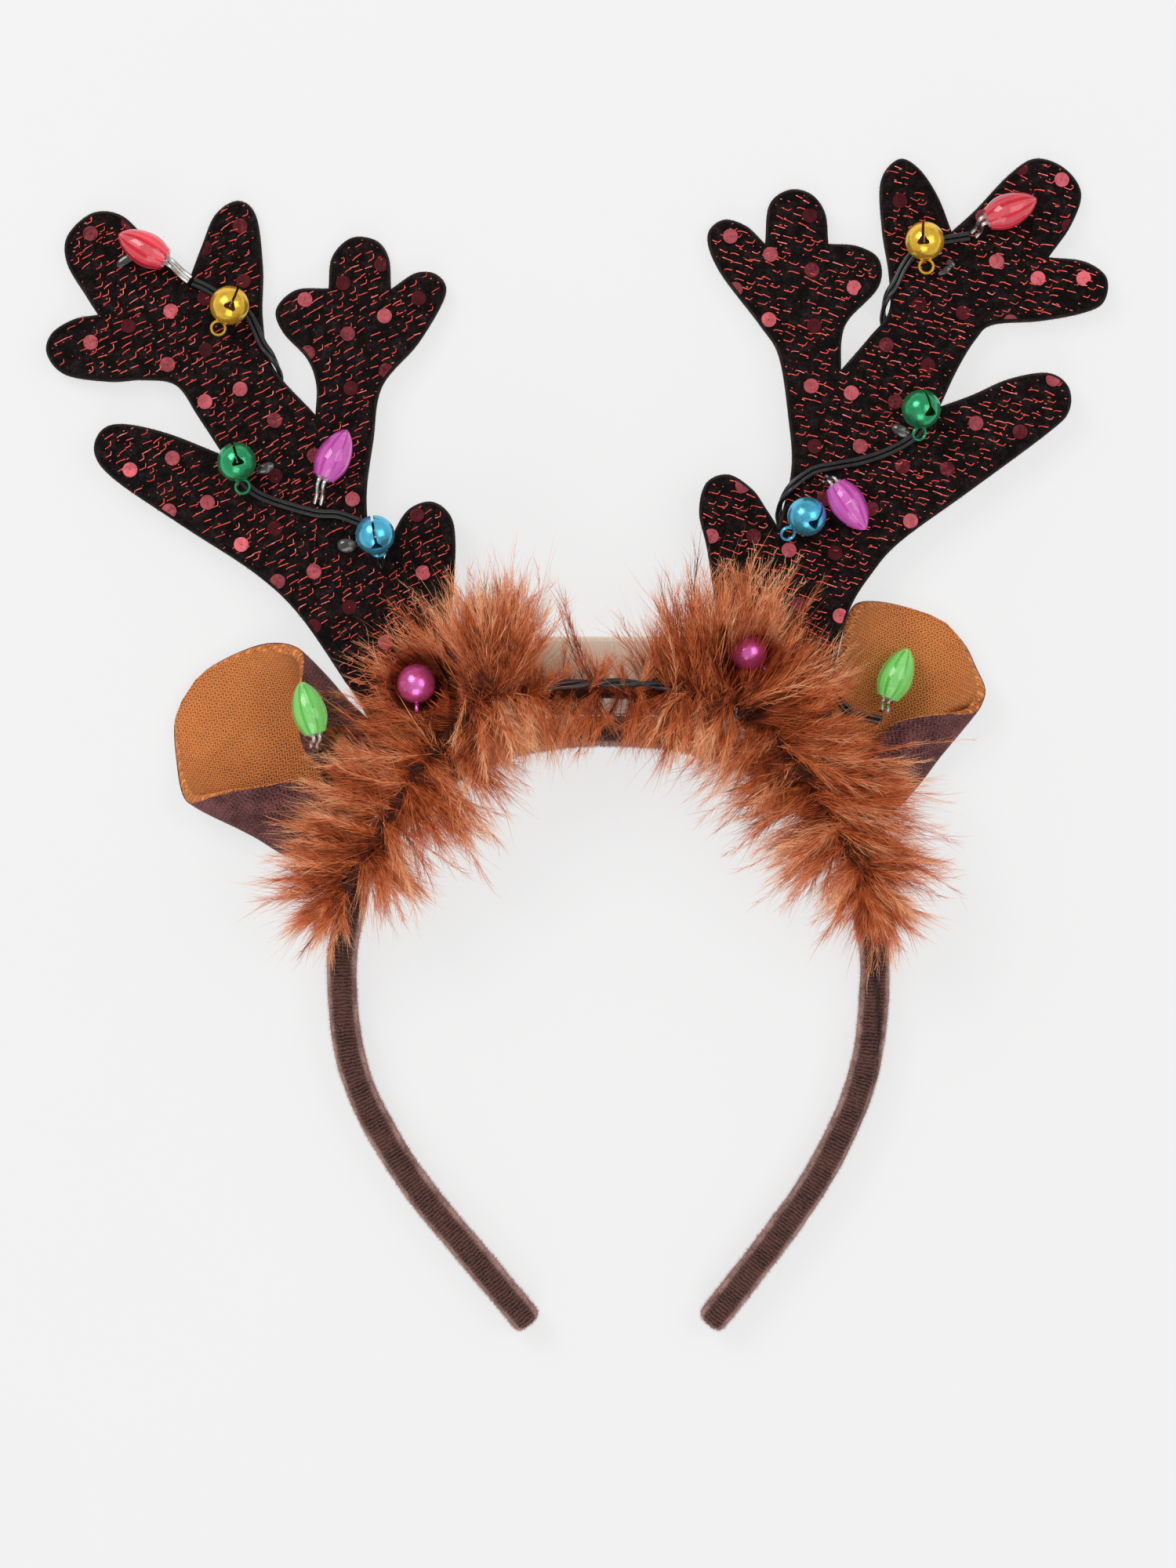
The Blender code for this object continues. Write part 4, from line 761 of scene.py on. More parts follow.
def stitch_tree():
    """Strips in rows on the top of a cloth, with both their ends on it."""
    t = geometry_tree("Lurex rows", cloth="Geometry", strip_a="Object", strip_b="Object",
                      strip_c="Object", row_pitch=0.002, strip_pitch=0.0035, slope=0.3,
                      reach=0.0018, centre="Vector", share=0.9, seed=1, material="Material")
    cloth, a, b, c, row, pitch, slope, reach, centre, share, seed, material = t.given
    grid = t.node("GeometryNodeMeshGrid", {
        "Size X": LUREX_SPAN, "Size Y": LUREX_SPAN, "Vertices X": LUREX_SPAN / pitch + 1.0,
        "Vertices Y": LUREX_SPAN / row + 1.0})
    dots = t.node("GeometryNodeMeshToPoints", {"Mesh": grid})
    place = t.place()
    level = t.math("ROUND", t.split(place)[1] / row)
    stagger = t.math("FRACT", level * 0.37) * pitch
    jitter = t.chance((-1, -1, 0), (1, 1, 0), seed) * t.xyz(pitch * 0.28, row * 0.16)
    drift = t.xyz(stagger, (t.noise(place, 60.0, 1.0) - 0.5) * 0.006)
    turned = t.get("ShaderNodeVectorRotate", {"Vector": place + jitter + drift, "Angle": slope},
                   rotation_type="Z_AXIS")
    lifted = t.moved(dots, turned + centre + (0.0, 0.0, 0.08))
    angle = slope + t.chance(-0.16, 0.16, 21)
    along = t.xyz(t.math("COSINE", angle), t.math("SINE", angle))
    here = t.place()
    hits = [t.dropped(cloth, here + along * reach * sign, 0.2) for sign in (0.0, 1.0, -1.0)]
    middle, ahead, behind = [t.out(hit, "Is Hit") for hit in hits]
    kept = middle * ahead * behind * t.math("LESS_THAN", t.chance(0.0, 1.0, 22), share)
    found = t.store(lifted, "kept", kept)
    found = t.store(found, "spot", t.out(hits[0], "Hit Position"), "FLOAT_VECTOR")
    found = t.store(found, "angle", angle)
    found = t.node("GeometryNodeDeleteGeometry", {
        "Geometry": found, "Selection": t.math("LESS_THAN", t.attribute("kept"), 0.5)},
        domain="POINT")
    dots = t.moved(found, t.attribute("spot", "FLOAT_VECTOR"))
    shapes = t.node("GeometryNodeJoinGeometry")
    for strip in (c, b, a):
        t.put(shapes.inputs[0], t.shape(strip, True))
    turn = t.node("FunctionNodeEulerToRotation", {0: t.xyz(z=t.attribute("angle"))})
    strips = t.placed(dots, shapes, pick_instance=True, instance_index=t.chance(0, 2, 23),
                      rotation=turn, scale=t.chance((0.7, 0.85, 0.8), (1.15, 1.15, 1.2), 24))
    toned = t.store(strips, "tone", t.chance(0.0, 1.0, 25), domain="INSTANCE")
    return finish_tree(t, toned, material)


def sequin_tree():
    """A round sequin on each point, turned by the point's tilt."""
    t = geometry_tree("Sequins", places="Geometry", sequin="Object", material="Material")
    places, sequin, material = t.given
    dots = t.node("GeometryNodeMeshToPoints", {"Mesh": places})
    turn = t.node("FunctionNodeEulerToRotation", {0: t.attribute("tilt", "FLOAT_VECTOR")})
    return finish_tree(t, t.placed(dots, t.shape(sequin), rotation=turn), material)


def tube_tree():
    """A round tube along each line."""
    t = geometry_tree("Wire", route="Geometry", radius=0.0005, step=0.0006, sides=10,
                      material="Material")
    route, radius, step, sides, material = t.given
    line = t.node("GeometryNodeMeshToCurve", {"Mesh": route})
    line = t.node("GeometryNodeResampleCurve", {"Curve": line, "Length": step}, mode="LENGTH")
    ring = t.node("GeometryNodeCurvePrimitiveCircle", {"Resolution": sides, "Radius": radius},
                  mode="RADIUS")
    tube = t.node("GeometryNodeCurveToMesh", {"Curve": line, "Profile Curve": ring,
                                              "Fill Caps": True})
    return finish_tree(t, t.node("GeometryNodeSetShadeSmooth", {"Geometry": tube}), material)


def down_tree():
    """Plumes of fine barbs. Each point is a plume's root and holds its way, bend and side. The
    first barb of each plume is its shaft, and none goes through the pieces below."""
    t = geometry_tree("Down", roots="Geometry", barb="Object", ground="Object",
                      clear_spots="Object", clear_radius=0.005, barbs=66, width=0.00014,
                      wave=0.0005, floor=0.0005, material="Material")
    roots, barb, ground, spots, clear, count, width, wave, floor, material = t.given
    many = t.node("GeometryNodeDuplicateElements", {
        "Geometry": t.node("GeometryNodeMeshToPoints", {"Mesh": roots}), "Amount": count},
        domain="POINT")
    order = t.out(many, "Duplicate Index")
    shaft = t.math("LESS_THAN", order, 0.5)
    plain = 1.0 - shaft
    start = (order + t.chance(0.0, 1.0, 31)) / count * t.attribute("span") * plain
    hand = t.math("MODULO", order, 2.0) * 2.0 - 1.0
    way, bend, aside = [t.attribute(name, "FLOAT_VECTOR") for name in ("way", "bend", "side")]
    squared = start * start
    begin = t.place() + way * start + bend * squared
    tangent = t.vector("NORMALIZE", way + bend * (start * 2.0))
    third = t.vector("NORMALIZE", t.vector("CROSS_PRODUCT", tangent, aside))
    beside = t.vector("CROSS_PRODUCT", third, tangent)
    spread = t.chance(0.15, 1.5, 32) * t.attribute("open") * (1.0 - start * 0.45)
    roll = t.chance(-1.0, 1.0, 33) * t.attribute("round")
    out = beside * (t.math("COSINE", roll) * hand) + third * t.math("SINE", roll)
    aim = tangent * t.math("COSINE", spread) + out * t.math("SINE", spread)
    luck = t.chance(0.0, 1.0, 34)
    share = luck * 0.55 + 0.35 + t.math("POWER", luck, 10.0) * 0.6
    length = t.attribute("long") * share * (1.0 - squared * 0.45)
    curl = (tangent - aim) * 0.42 + t.chance(*ANY_WAY, 35) * 0.22
    face = t.vector("NORMALIZE", t.vector("CROSS_PRODUCT", aim, t.chance(*ANY_WAY, 36)))
    held = t.out(many, "Geometry")
    for name, value in (
            ("x begin", begin), ("x aim", t.blend(shaft, aim * length, way * 0.9, "VECTOR")),
            ("x curl", t.blend(shaft, curl * length, bend * 0.81, "VECTOR")),
            ("x face", face * (t.chance(0.6, 1.15, 38) + shaft * 1.3)),
            ("x wave", t.chance(*ANY_WAY, 37) * plain)):
        held = t.store(held, name, value, "FLOAT_VECTOR")
    held = t.store(held, "x deep", start)
    held = t.store(held, "x tone", t.attribute("tone") + t.chance(-0.10, 0.10, 39) + shaft * 0.16)
    strips = t.placed(t.moved(held, (0.0, 0.0, 0.0)), t.shape(barb))
    real = t.node("GeometryNodeRealizeInstances", {"Geometry": strips})
    along, across, deep = [t.attribute(name) for name in ("along", "across", "x deep")]
    ripple = t.math("SINE", along * 5.0 + deep * 40.0)
    place = t.attribute("x begin", "FLOAT_VECTOR")
    for name, factor in (("x aim", along), ("x curl", along * along),
                         ("x wave", ripple * wave * along), ("x face", across * width)):
        place = place + t.attribute(name, "FLOAT_VECTOR") * factor
    x, y, z = t.split(place)
    below = t.dropped(t.shape(ground), t.xyz(x, y, 0.06), 0.06)
    top = t.split(t.out(below, "Hit Position"))[2]
    low = t.math("MAXIMUM", floor, (top + 0.0003) * t.out(below, "Is Hit"))
    spot = t.get("GeometryNodeProximity", {"Geometry": t.shape(spots),
                                           "Sample Position": t.xyz(x, y)}, "Distance",
                 target_element="POINTS")
    away = t.math("MAXIMUM", spot - clear, 0.0)
    over = t.math("MAXIMUM", z - DOWN_LEVEL, 0.0)
    kept = t.math("MAXIMUM", z - over * DOWN_PRESS, low)
    height = t.math("MINIMUM", kept, low + away * CLEAR_SLOPE)
    # The shade darkens towards the roots and inner barbs: partly the down's colour, partly painted
    # shade deep in the trim.
    toned = t.store(t.moved(real, t.xyz(x, y, height)), "shade",
                    t.attribute("x tone") + (deep * 0.45 + along * 0.5))
    clean = t.node("GeometryNodeRemoveAttribute", {"Geometry": toned, "Name": "x *"},
                   pattern_mode="WILDCARD")
    return finish_tree(t, clean, material)


# Materials

def shown(red, green, blue):
    """A colour as a screen shows it, 0 to 255, as the linear values of a colour socket."""
    def linear(v):
        v /= 255
        return v / 12.92 if v <= 0.04045 else ((v + 0.055) / 1.055) ** 2.4
    return (linear(red), linear(green), linear(blue))


def tones(colour, *stops):
    """A ramp's stops, each a place, what multiplies the colour and what is added to it."""
    return [(place, [min(v * factor + sum(more), 1.0) for v in colour])
            for place, factor, *more in stops]


def grain(t, vector, coarse, fine):
    """Coarse and fine mottling. Like each pattern it gives a tone from 0 to 1 and a height."""
    large, small = t.noise(vector, coarse, 3.0), t.noise(vector, fine)
    return t.spread(large * 0.55 + small * 0.45, 0.36, 0.64), small


def twill(t, vector, pitch):
    """Slanted stitches in rows that change hands."""
    u, v, _ = t.split(vector)
    zig = t.math("PINGPONG", v, pitch * 1.1)
    line = t.math("SINE", (u + zig) / pitch * (2 * pi))
    row = t.math("SINE", v / pitch * (pi / 1.1))
    height = line * 0.5 + t.math("ABSOLUTE", row) * 0.35
    return t.spread(height, -0.4, 0.75), height


def ribs(t, vector, pitch, uneven):
    """Fine uneven ribs across a length."""
    phase = t.split(vector)[0] / pitch + t.noise(vector, 650.0) * (uneven * 3.0)
    height = t.math("SINE", phase * (2 * pi)) * 0.5 + t.noise(vector, 1300.0)
    return t.spread(height, 0.0, 1.0), height


class Finish:
    """A material with one Principled shader, built around an Object and a UV vector."""

    def __init__(self, name, rough=0.6, metal=0.0, **plain):
        self.material = bpy.data.materials.new(name)
        self.material.use_nodes = True
        self.tree = Tree(self.material.node_tree)
        self.shader = self.material.node_tree.nodes["Principled BSDF"].inputs
        for label, value in {"roughness": rough, "metallic": metal, **plain}.items():
            self.shader[label.replace("_", " ").title().replace("Ior", "IOR")].default_value = value
        coordinates = self.tree.node("ShaderNodeTexCoord")
        self.place, self.flat = [self.tree.out(coordinates, name) for name in ("Object", "UV")]

    def attribute(self, name):
        return self.tree.get("ShaderNodeAttribute", name="Fac", attribute_name=name)

    def pattern(self, build, vector, **inputs):
        """A pattern's tone and height, from a node group that is built once."""
        name = build.__name__.title()
        group = bpy.data.node_groups.get(name)
        if not group:
            group = bpy.data.node_groups.new(name, "ShaderNodeTree")
            t = Tree(group, {"vector": "Vector", **inputs}, {"tone": "Float", "height": "Float"})
            for socket, value in zip(t.result, build(t, *t.given)):
                t.put(socket, value)
        values = {label.title(): value for label, value in inputs.items()}
        made = self.tree.node("ShaderNodeGroup", {"Vector": vector, **values}, node_tree=group)
        return [Value(self.tree, s) for s in made.outputs]

    def grain(self, coarse, fine):
        return self.pattern(grain, self.place, coarse=coarse, fine=fine)

    def mottled(self, coarse, fine, stops, rough=None):
        """A colour, and a roughness between two values, that follow the grain."""
        tone, height = self.grain(coarse, fine)
        self.tinted(tone, stops)
        if rough:
            self.put("Roughness", self.tree.spread(tone, 0.0, 1.0, *rough))
        return tone, height

    def put(self, label, value):
        self.tree.put(self.shader[label], value)

    def tinted(self, tone, stops):
        self.put("Base Color", self.tree.ramp(tone, stops))

    def bump(self, height, strength, distance=0.0002):
        self.put("Normal", self.tree.node("ShaderNodeBump", {
            "Height": height, "Strength": strength, "Distance": distance}))


def ready(name, build):
    """The material of this name, built once."""
    return bpy.data.materials.get(name) or build(name).material


def velvet_finish(name):
    """Ribbed pile on the band, read along its own UV map, with painted sheen on its sides and
    painted shade in its seam groove.
    """
    s = bpy.context.scene.headband_cloth
    f = Finish(name, 0.95, sheen_weight=0.7, sheen_roughness=0.3,
               sheen_tint=(0.78, 0.50, 0.45, 1.0))
    t = f.tree
    rib, _ = f.pattern(ribs, f.flat, pitch=s.rib_pitch, uneven=0.42)
    speckle, _ = f.grain(220.0, 1800.0)
    tone = rib * 0.62 + speckle * 0.38
    pile = t.ramp(tone, tones(s.velvet, (0.15, 0.12), (0.5, 1), (0.9, 1.7)))
    # Painted sheen: the band's sides are coloured paler, as velvet pile looks under grazing light.
    edge = t.ramp(speckle, [(0.2, shown(126, 88, 80)), (0.8, shown(196, 156, 146))])
    pile = t.blend(f.attribute("edge"), pile, edge)
    # Painted shade: in the seam groove the velvet is coloured at 0.12 of its colour.
    deep = (*[v * 0.12 for v in s.velvet], 1.0)
    f.put("Base Color", t.blend(f.attribute("groove"), pile, deep))
    f.bump(tone, 1.0, 0.0003)
    return f


def plain_velvet_finish(name):
    """Short knitted pile of the ears' outsides."""
    s = bpy.context.scene.headband_cloth
    f = Finish(name, 0.95, sheen_weight=0.35, sheen_roughness=0.35,
               sheen_tint=(0.72, 0.46, 0.46, 1.0))
    weave, _ = f.pattern(twill, f.flat, pitch=0.0008)
    tone = weave * 0.45 + f.grain(220.0, 2200.0)[0] * 0.55
    f.tinted(tone, tones(s.ear_velvet, (0.15, 0.2), (0.5, 1), (0.85, 2.2)))
    f.bump(tone, 0.8)
    return f


def twill_finish(name):
    """Tan twill with a few bright specks."""
    s = bpy.context.scene.headband_cloth
    f = Finish(name, 0.9, sheen_weight=0.2, sheen_roughness=0.4, sheen_tint=(1.0, 0.72, 0.45, 1.0))
    t = f.tree
    weave, height = f.pattern(twill, f.flat, pitch=s.twill_pitch)
    tone = weave * 0.75 + f.grain(70.0, 1400.0)[0] * 0.25
    base = t.ramp(tone, tones(s.lining, (0.0, 0.18), (0.45, 1), (1.0, 1.7)))
    cells = t.node("ShaderNodeTexVoronoi", {"Vector": f.place, "Scale": 1500.0})
    pick = t.get("ShaderNodeSeparateColor", {"Color": t.out(cells, "Color")})
    speck = (t.math("GREATER_THAN", pick, 0.965)
             * t.math("LESS_THAN", t.out(cells, "Distance"), 0.16))
    f.put("Base Color", t.blend(speck, base, (0.95, 0.66, 0.42, 1.0)))
    f.bump(height, 0.9)
    return f


def felt_finish(name):
    s = bpy.context.scene.headband_antlers
    f = Finish(name, 1.0, sheen_weight=0.15, sheen_roughness=0.5)
    _, height = f.mottled(260.0, 1900.0, tones(s.felt, (0.0, 0.4), (0.6, 1), (1.0, 2.4)))
    f.bump(height, 0.7, 0.0003)
    return f


def cloth_finish(name):
    """Dark fuzzy knit between the lurex strips."""
    s = bpy.context.scene.headband_antlers
    f = Finish(name, 1.0, specular_ior_level=0.15)
    loops = f.tree.get("ShaderNodeTexVoronoi", {"Vector": f.place, "Scale": 1100.0}, "Distance")
    tone = f.grain(420.0, 2400.0)[0] - loops * 0.4
    f.tinted(tone, tones(s.cloth, (0.0, 0.25), (0.5, 1), (0.8, 2.2), (1.0, 4)))
    f.bump(loops, 0.9, 0.0004)
    return f


def lurex_finish(name):
    s = bpy.context.scene.headband_antlers
    f = Finish(name, 0.34, 0.5)
    wear_and_glint, _ = f.grain(900.0, 3000.0)
    # The top stop paints pink-white glints, a painted highlight, on the brightest strips.
    f.tinted(f.attribute("tone") * 0.55 + wear_and_glint * 0.5, tones(
        s.lurex, (0.0, 0.4), (0.45, 1), (0.7, 1.4), (1.0, 1.4, 0.28)))
    f.put("Roughness", f.tree.spread(wear_and_glint, 0.0, 1.0, 0.28, 0.5))
    return f


def sequin_finish(name):
    """Coloured film whose listed tone paints shade and reflection: dark where it lies in the knit
    and bright where it faces the light.
    """
    s = bpy.context.scene.headband_antlers
    f = Finish(name, 0.42, 0.45, specular_ior_level=0.2)
    speckle, _ = f.grain(420.0, 1500.0)
    f.tinted(f.attribute("tone") + (speckle - 0.5) * 0.22,
             tones(shown(88, 22, 30), (0.0, 0.4), (0.35, 1))
             + tones(s.sequin, (0.65, 0.55), (0.88, 1), (1.0, 1.4)))
    f.put("Roughness", f.tree.spread(speckle, 0.0, 1.0, 0.3, 0.55))
    return f


def metal_finish(name, colour):
    """Anodised thin metal with faint drawing marks."""
    f = Finish(name, 0.2, 0.7)
    tone, _ = f.mottled(320.0, 2500.0, tones(colour, (0.0, 0.72), (0.6, 1), (1.0, 1.15)),
                        (0.14, 0.27))
    f.bump(tone, 0.12)
    return f


def jelly_finish(name, colour):
    """Clear coloured plastic, deepened at its edges by the facing angle and pale with long streaks
    in the middle; the same colour also feeds a faint emission, a painted glow, as the covers are no
    lamps.
    """
    f = Finish(name, 0.06, transmission_weight=0.88, coat_weight=0.7, coat_roughness=0.03,
               # The emission strength below is a painted glow on the cover.
               ior=1.33, emission_strength=0.13)
    t = f.tree
    facing = t.get("ShaderNodeLayerWeight", {"Blend": 0.42}, "Facing")
    deep = facing * 0.85 + (f.attribute("streak") - 0.5) * 1.5
    tint_and_painted_glow = t.ramp(deep, tones(colour, (0.0, 0.8, 0.2), (0.22, 1, 0.03), (0.75, 0.42)))
    f.put("Base Color", tint_and_painted_glow)
    # Painted glow: the cover's own colour is emitted as well.
    f.put("Emission Color", tint_and_painted_glow)
    return f


def clear_finish(name):
    f = Finish(name, 0.1, transmission_weight=0.85, ior=1.45)
    tone, _ = f.mottled(300.0, 1200.0, [(0.0, (0.8, 0.8, 0.76)), (1.0, (0.95, 0.95, 0.92))])
    f.bump(tone, 0.25, 0.0003)
    return f


def glue_finish(name):
    """Hardened clear glue over the dark cloth."""
    f = Finish(name, 0.08, transmission_weight=0.55, coat_weight=1.0, coat_roughness=0.05)
    f.mottled(260.0, 700.0, [(0.0, (0.02, 0.018, 0.018)), (0.7, (0.12, 0.11, 0.10)),
                             (1.0, (0.6, 0.58, 0.55))])
    return f


def steel_finish(name):
    f = Finish(name, 0.25, 1.0)
    f.mottled(500.0, 2600.0, [(0.0, (0.52, 0.51, 0.49)), (1.0, (0.92, 0.91, 0.88))], (0.18, 0.38))
    return f


def wire_finish(name):
    s = bpy.context.scene.headband_lights
    f = Finish(name, 0.28, coat_weight=0.3, coat_roughness=0.15)
    f.mottled(240.0, 1600.0, tones(s.wire, (0.0, 0.6), (1.0, 1.8)), (0.2, 0.42))
    return f


def case_finish(name):
    f = Finish(name, 0.5, coat_weight=0.1, coat_roughness=0.4)
    # The cream is made paler to offset the down's shadow over the case: partly the plastic's
    # colour, partly painted light.
    _, height = f.mottled(60.0, 1500.0, [(0.0, shown(240, 218, 190)), (1.0, shown(253, 242, 224))],
                          (0.38, 0.6))
    f.bump(height, 0.08, 0.0001)
    return f


def down_finish(name):
    """Down from dark roots to pale tips; the dark near the roots and on inner barbs is partly the
    down's colour and partly painted shade inside the trim.
    """
    s = bpy.context.scene.headband_down
    f = Finish(name, 0.65, specular_ior_level=0.25, sheen_weight=0.06, sheen_roughness=0.4,
               sheen_tint=(1.0, 0.6, 0.35, 1.0))
    tone = f.attribute("shade") + (f.grain(90.0, 500.0)[0] - 0.55) * 0.42
    f.tinted(tone, [(0.0, s.root), (0.18, s.middle), (0.50, s.outer), (0.95, s.tip)])
    return f


def core_finish(name):
    s = bpy.context.scene.headband_down
    f = Finish(name, 0.95)
    # The core is a very dark brown: partly the cord's colour, partly painted shade deep in the
    # down.
    _, height = f.mottled(200.0, 1200.0, tones(s.root, (0.0, 0.15), (1.0, 1)))
    f.bump(height, 0.8, 0.0008)
    return f


def fibre_finish(name, colour):
    """Loose pile fibres."""
    f = Finish(name, 0.9, sheen_weight=0.3, sheen_roughness=0.5)
    f.tinted(f.attribute("tone"), tones(colour, (0.0, 0.55), (1.0, 1.5)))
    return f


# Sizes and colours that a user would change

def tint(name, description, default):
    return bpy.props.FloatVectorProperty(name=name, description=description, size=3,
                                         subtype="COLOR", min=0.0, max=1.0, default=default)


def length(name, description, default):
    return bpy.props.FloatProperty(name=name, description=description, default=default, min=0.0,
                                   precision=5, subtype="DISTANCE", unit="LENGTH")


def number(name, description, default, least=0, most=1000):
    return bpy.props.IntProperty(name=name, description=description, default=default, min=least,
                                 max=most)


class HeadbandCloth(bpy.types.PropertyGroup):
    velvet: tint("Band velvet", "Pile colour of the band", shown(82, 50, 43))
    ear_velvet: tint("Ear velvet", "Pile colour of the ears' outsides", shown(96, 56, 56))
    lining: tint("Ear lining", "Twill colour of the ears' insides", shown(208, 122, 62))
    rib_pitch: length("Rib pitch", "Distance between the band's ribs", 0.0008)
    twill_pitch: length("Twill pitch", "Distance between the lining's stitches", 0.00070)
    pile: length("Pile", "Length of the band's longest fibres", 0.0009)


class HeadbandAntlers(bpy.types.PropertyGroup):
    cloth: tint("Cloth", "Knit colour between the strips", shown(27, 19, 19))
    felt: tint("Felt", "Colour of the felt body and its rim", shown(38, 27, 26))
    lurex: tint("Lurex", "Colour of the metallic strips", shown(250, 84, 72))
    sequin: tint("Sequins", "Colour of the brightest sequins", shown(198, 94, 102))
    row_pitch: length("Row pitch", "Distance between rows of strips", 0.00190)
    strip_pitch: length("Strip pitch", "Distance between strips in a row", 0.00295)
    sequin_width: length("Sequin width", "Diameter of a sequin", 0.0035)


class HeadbandDown(bpy.types.PropertyGroup):
    root: tint("Roots", "Colour near the core", shown(74, 25, 10))
    middle: tint("Middle", "Colour inside the trim", shown(168, 70, 28))
    outer: tint("Outside", "Colour of the outer barbs", shown(222, 117, 61))
    tip: tint("Tips", "Colour of the finest tips", shown(253, 198, 150))
    barbs: number("Barbs", "Barbs on each plume", 60)
    barb_width: length("Barb width", "Width of a barb at its root", 0.00011)
    seed: number("Seed", "Start of the random numbers", 5)


class HeadbandBells(bpy.types.PropertyGroup):
    gold: tint("Gold", "Colour of the gold bells", (1.0, 0.60, 0.06))
    green: tint("Green", "Colour of the green bells", (0.04, 0.42, 0.17))
    blue: tint("Blue", "Colour of the blue bells", (0.11, 0.58, 0.84))
    pink: tint("Pink", "Colour of the pink bells", (1.0, 0.20, 0.62))


class HeadbandLights(bpy.types.PropertyGroup):
    red: tint("Red", "Colour of the red bulb covers", (0.94, 0.04, 0.10))
    magenta: tint("Magenta", "Colour of the magenta bulb covers", (0.88, 0.16, 0.74))
    green: tint("Green", "Colour of the green bulb covers", (0.34, 0.90, 0.24))
    wire: tint("Wire", "Colour of the wire's cover", (0.006, 0.006, 0.007))


class HeadbandStage(bpy.types.PropertyGroup):
    floor: tint("Floor", "Colour of the floor", (0.20, 0.20, 0.20))
    distance: length("Camera distance", "Camera's height over the object", 1.5)
    light: bpy.props.FloatProperty(name="Light", description="Brightness of the lamps in watts",
                                   default=8.5, min=0.0)


GROUPS = {"headband_cloth": HeadbandCloth, "headband_antlers": HeadbandAntlers,
          "headband_down": HeadbandDown, "headband_bells": HeadbandBells,
          "headband_lights": HeadbandLights, "headband_stage": HeadbandStage}


# Mesh helpers

def pose(position, axis, roll=0.0):
    """A matrix that puts a mesh's +Z along axis, with its +X towards the front, then rolled."""
    up = axis.normalized()
    across = (UP - up * UP.dot(up)).normalized()
    turned = across * cos(roll) + up.cross(across) * sin(roll)
    turn = Matrix((turned, up.cross(turned), up)).transposed().to_4x4()
    return Matrix.Translation(position) @ turn


def add_piece(name, mesh, material, slot, replaces=None, smooth=None):
    """A finished piece at the origin that rides on the part. It may stand for a solid, and be
    smooth up to an angle between its faces."""
    obj = linked(name, mesh)
    mesh.materials.append(material)
    if smooth is not None:
        mesh.shade_smooth()
        if smooth < 180:
            mesh.set_sharp_from_angle(angle=radians(smooth))
    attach(obj, "root")
    if replaces:
        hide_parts(replaces)
    return obj


def angles(count):
    return [2 * pi * k / count for k in range(count)]


def ring_mesh(name, rings, uvs=None, closed=False, caps=True):
    """Faces through rings of points, each ring closed on itself."""
    bm = bmesh.new()
    loops = [[bm.verts.new(p) for p in ring] for ring in rings]
    layer = bm.loops.layers.uv.new("UVMap") if uvs else None
    count = len(loops[0])
    pairs = list(zip(range(len(loops)), range(1, len(loops))))
    if closed:
        pairs.append((len(loops) - 1, 0))
    for a, b in pairs:
        for i in range(count):
            j = (i + 1) % count
            face = bm.faces.new((loops[a][i], loops[a][j], loops[b][j], loops[b][i]))
            if uvs:
                corners = (uvs(a, i), uvs(a, i + 1), uvs(b, i + 1), uvs(b, i))
                for loop, uv in zip(face.loops, corners):
                    loop[layer].uv = uv
    if caps:
        bm.faces.new(loops[0][::-1])
        bm.faces.new(loops[-1])
    bmesh.ops.recalc_face_normals(bm, faces=bm.faces)
    return baked(bm, name)


def turned_mesh(name, rows, sides, flute=None):
    """A turned mesh from (radius, height) rows. A radius of 0 is a pole."""
    bm = bmesh.new()
    loops = []
    for k, (radius, height) in enumerate(rows):
        if radius == 0:
            loops.append([bm.verts.new((0, 0, height))])
            continue
        loops.append([])
        for a in angles(sides):
            r = radius * (flute(k, a) if flute else 1.0)
            loops[-1].append(bm.verts.new((r * cos(a), r * sin(a), height)))
    for a, b in zip(loops, loops[1:]):
        for i in range(sides):
            j = (i + 1) % sides
            corners = [a[i % len(a)], a[j % len(a)], b[j % len(b)], b[i % len(b)]]
            bm.faces.new(list(dict.fromkeys(corners)))
    bmesh.ops.recalc_face_normals(bm, faces=bm.faces)
    return baked(bm, name)


def ball_mesh(name, radius, count, sides, swell=lambda angle: 1.0):
    """A ball turned from rows at even angles."""
    rows = [(0, radius)]
    for k in range(1, count):
        a = pi * k / count
        r = radius * swell(a)
        rows.append((r * sin(a), r * cos(a)))
    return turned_mesh(name, rows + [(0, -radius)], sides)


def joined(name, *meshes):
    bm = bmesh.new()
    for mesh in meshes:
        bm.from_mesh(mesh)
    return baked(bm, name)


def carved(name, base, *cutters):
    """The base mesh with the cutters' room taken out."""
    made = [linked(mesh.name, mesh) for mesh in (base, *cutters)]
    for cutter in made[1:]:
        step = made[0].modifiers.new("Cut", "BOOLEAN")
        step.operation = "DIFFERENCE"
        step.object = cutter
    graph = bpy.context.evaluated_depsgraph_get()
    result = bpy.data.meshes.new_from_object(made[0].evaluated_get(graph))
    result.name = name
    result.materials.clear()
    for obj in made:
        bpy.data.objects.remove(obj)
    return result


def put_at(mesh, matrix):
    """A copy of a mesh, moved by a matrix."""
    made = mesh.copy()
    made.transform(matrix)
    return made


def fibre_object():
    """One pile fibre of unit length."""
    if bpy.data.objects.get("Fibre"):
        return bpy.data.objects["Fibre"]
    return tool_object("Fibre", plain_mesh(
        "Fibre", [(-0.05, 0, 0), (0.05, 0, 0), (0, 0.02, 1)], faces=[(0, 1, 2)]))


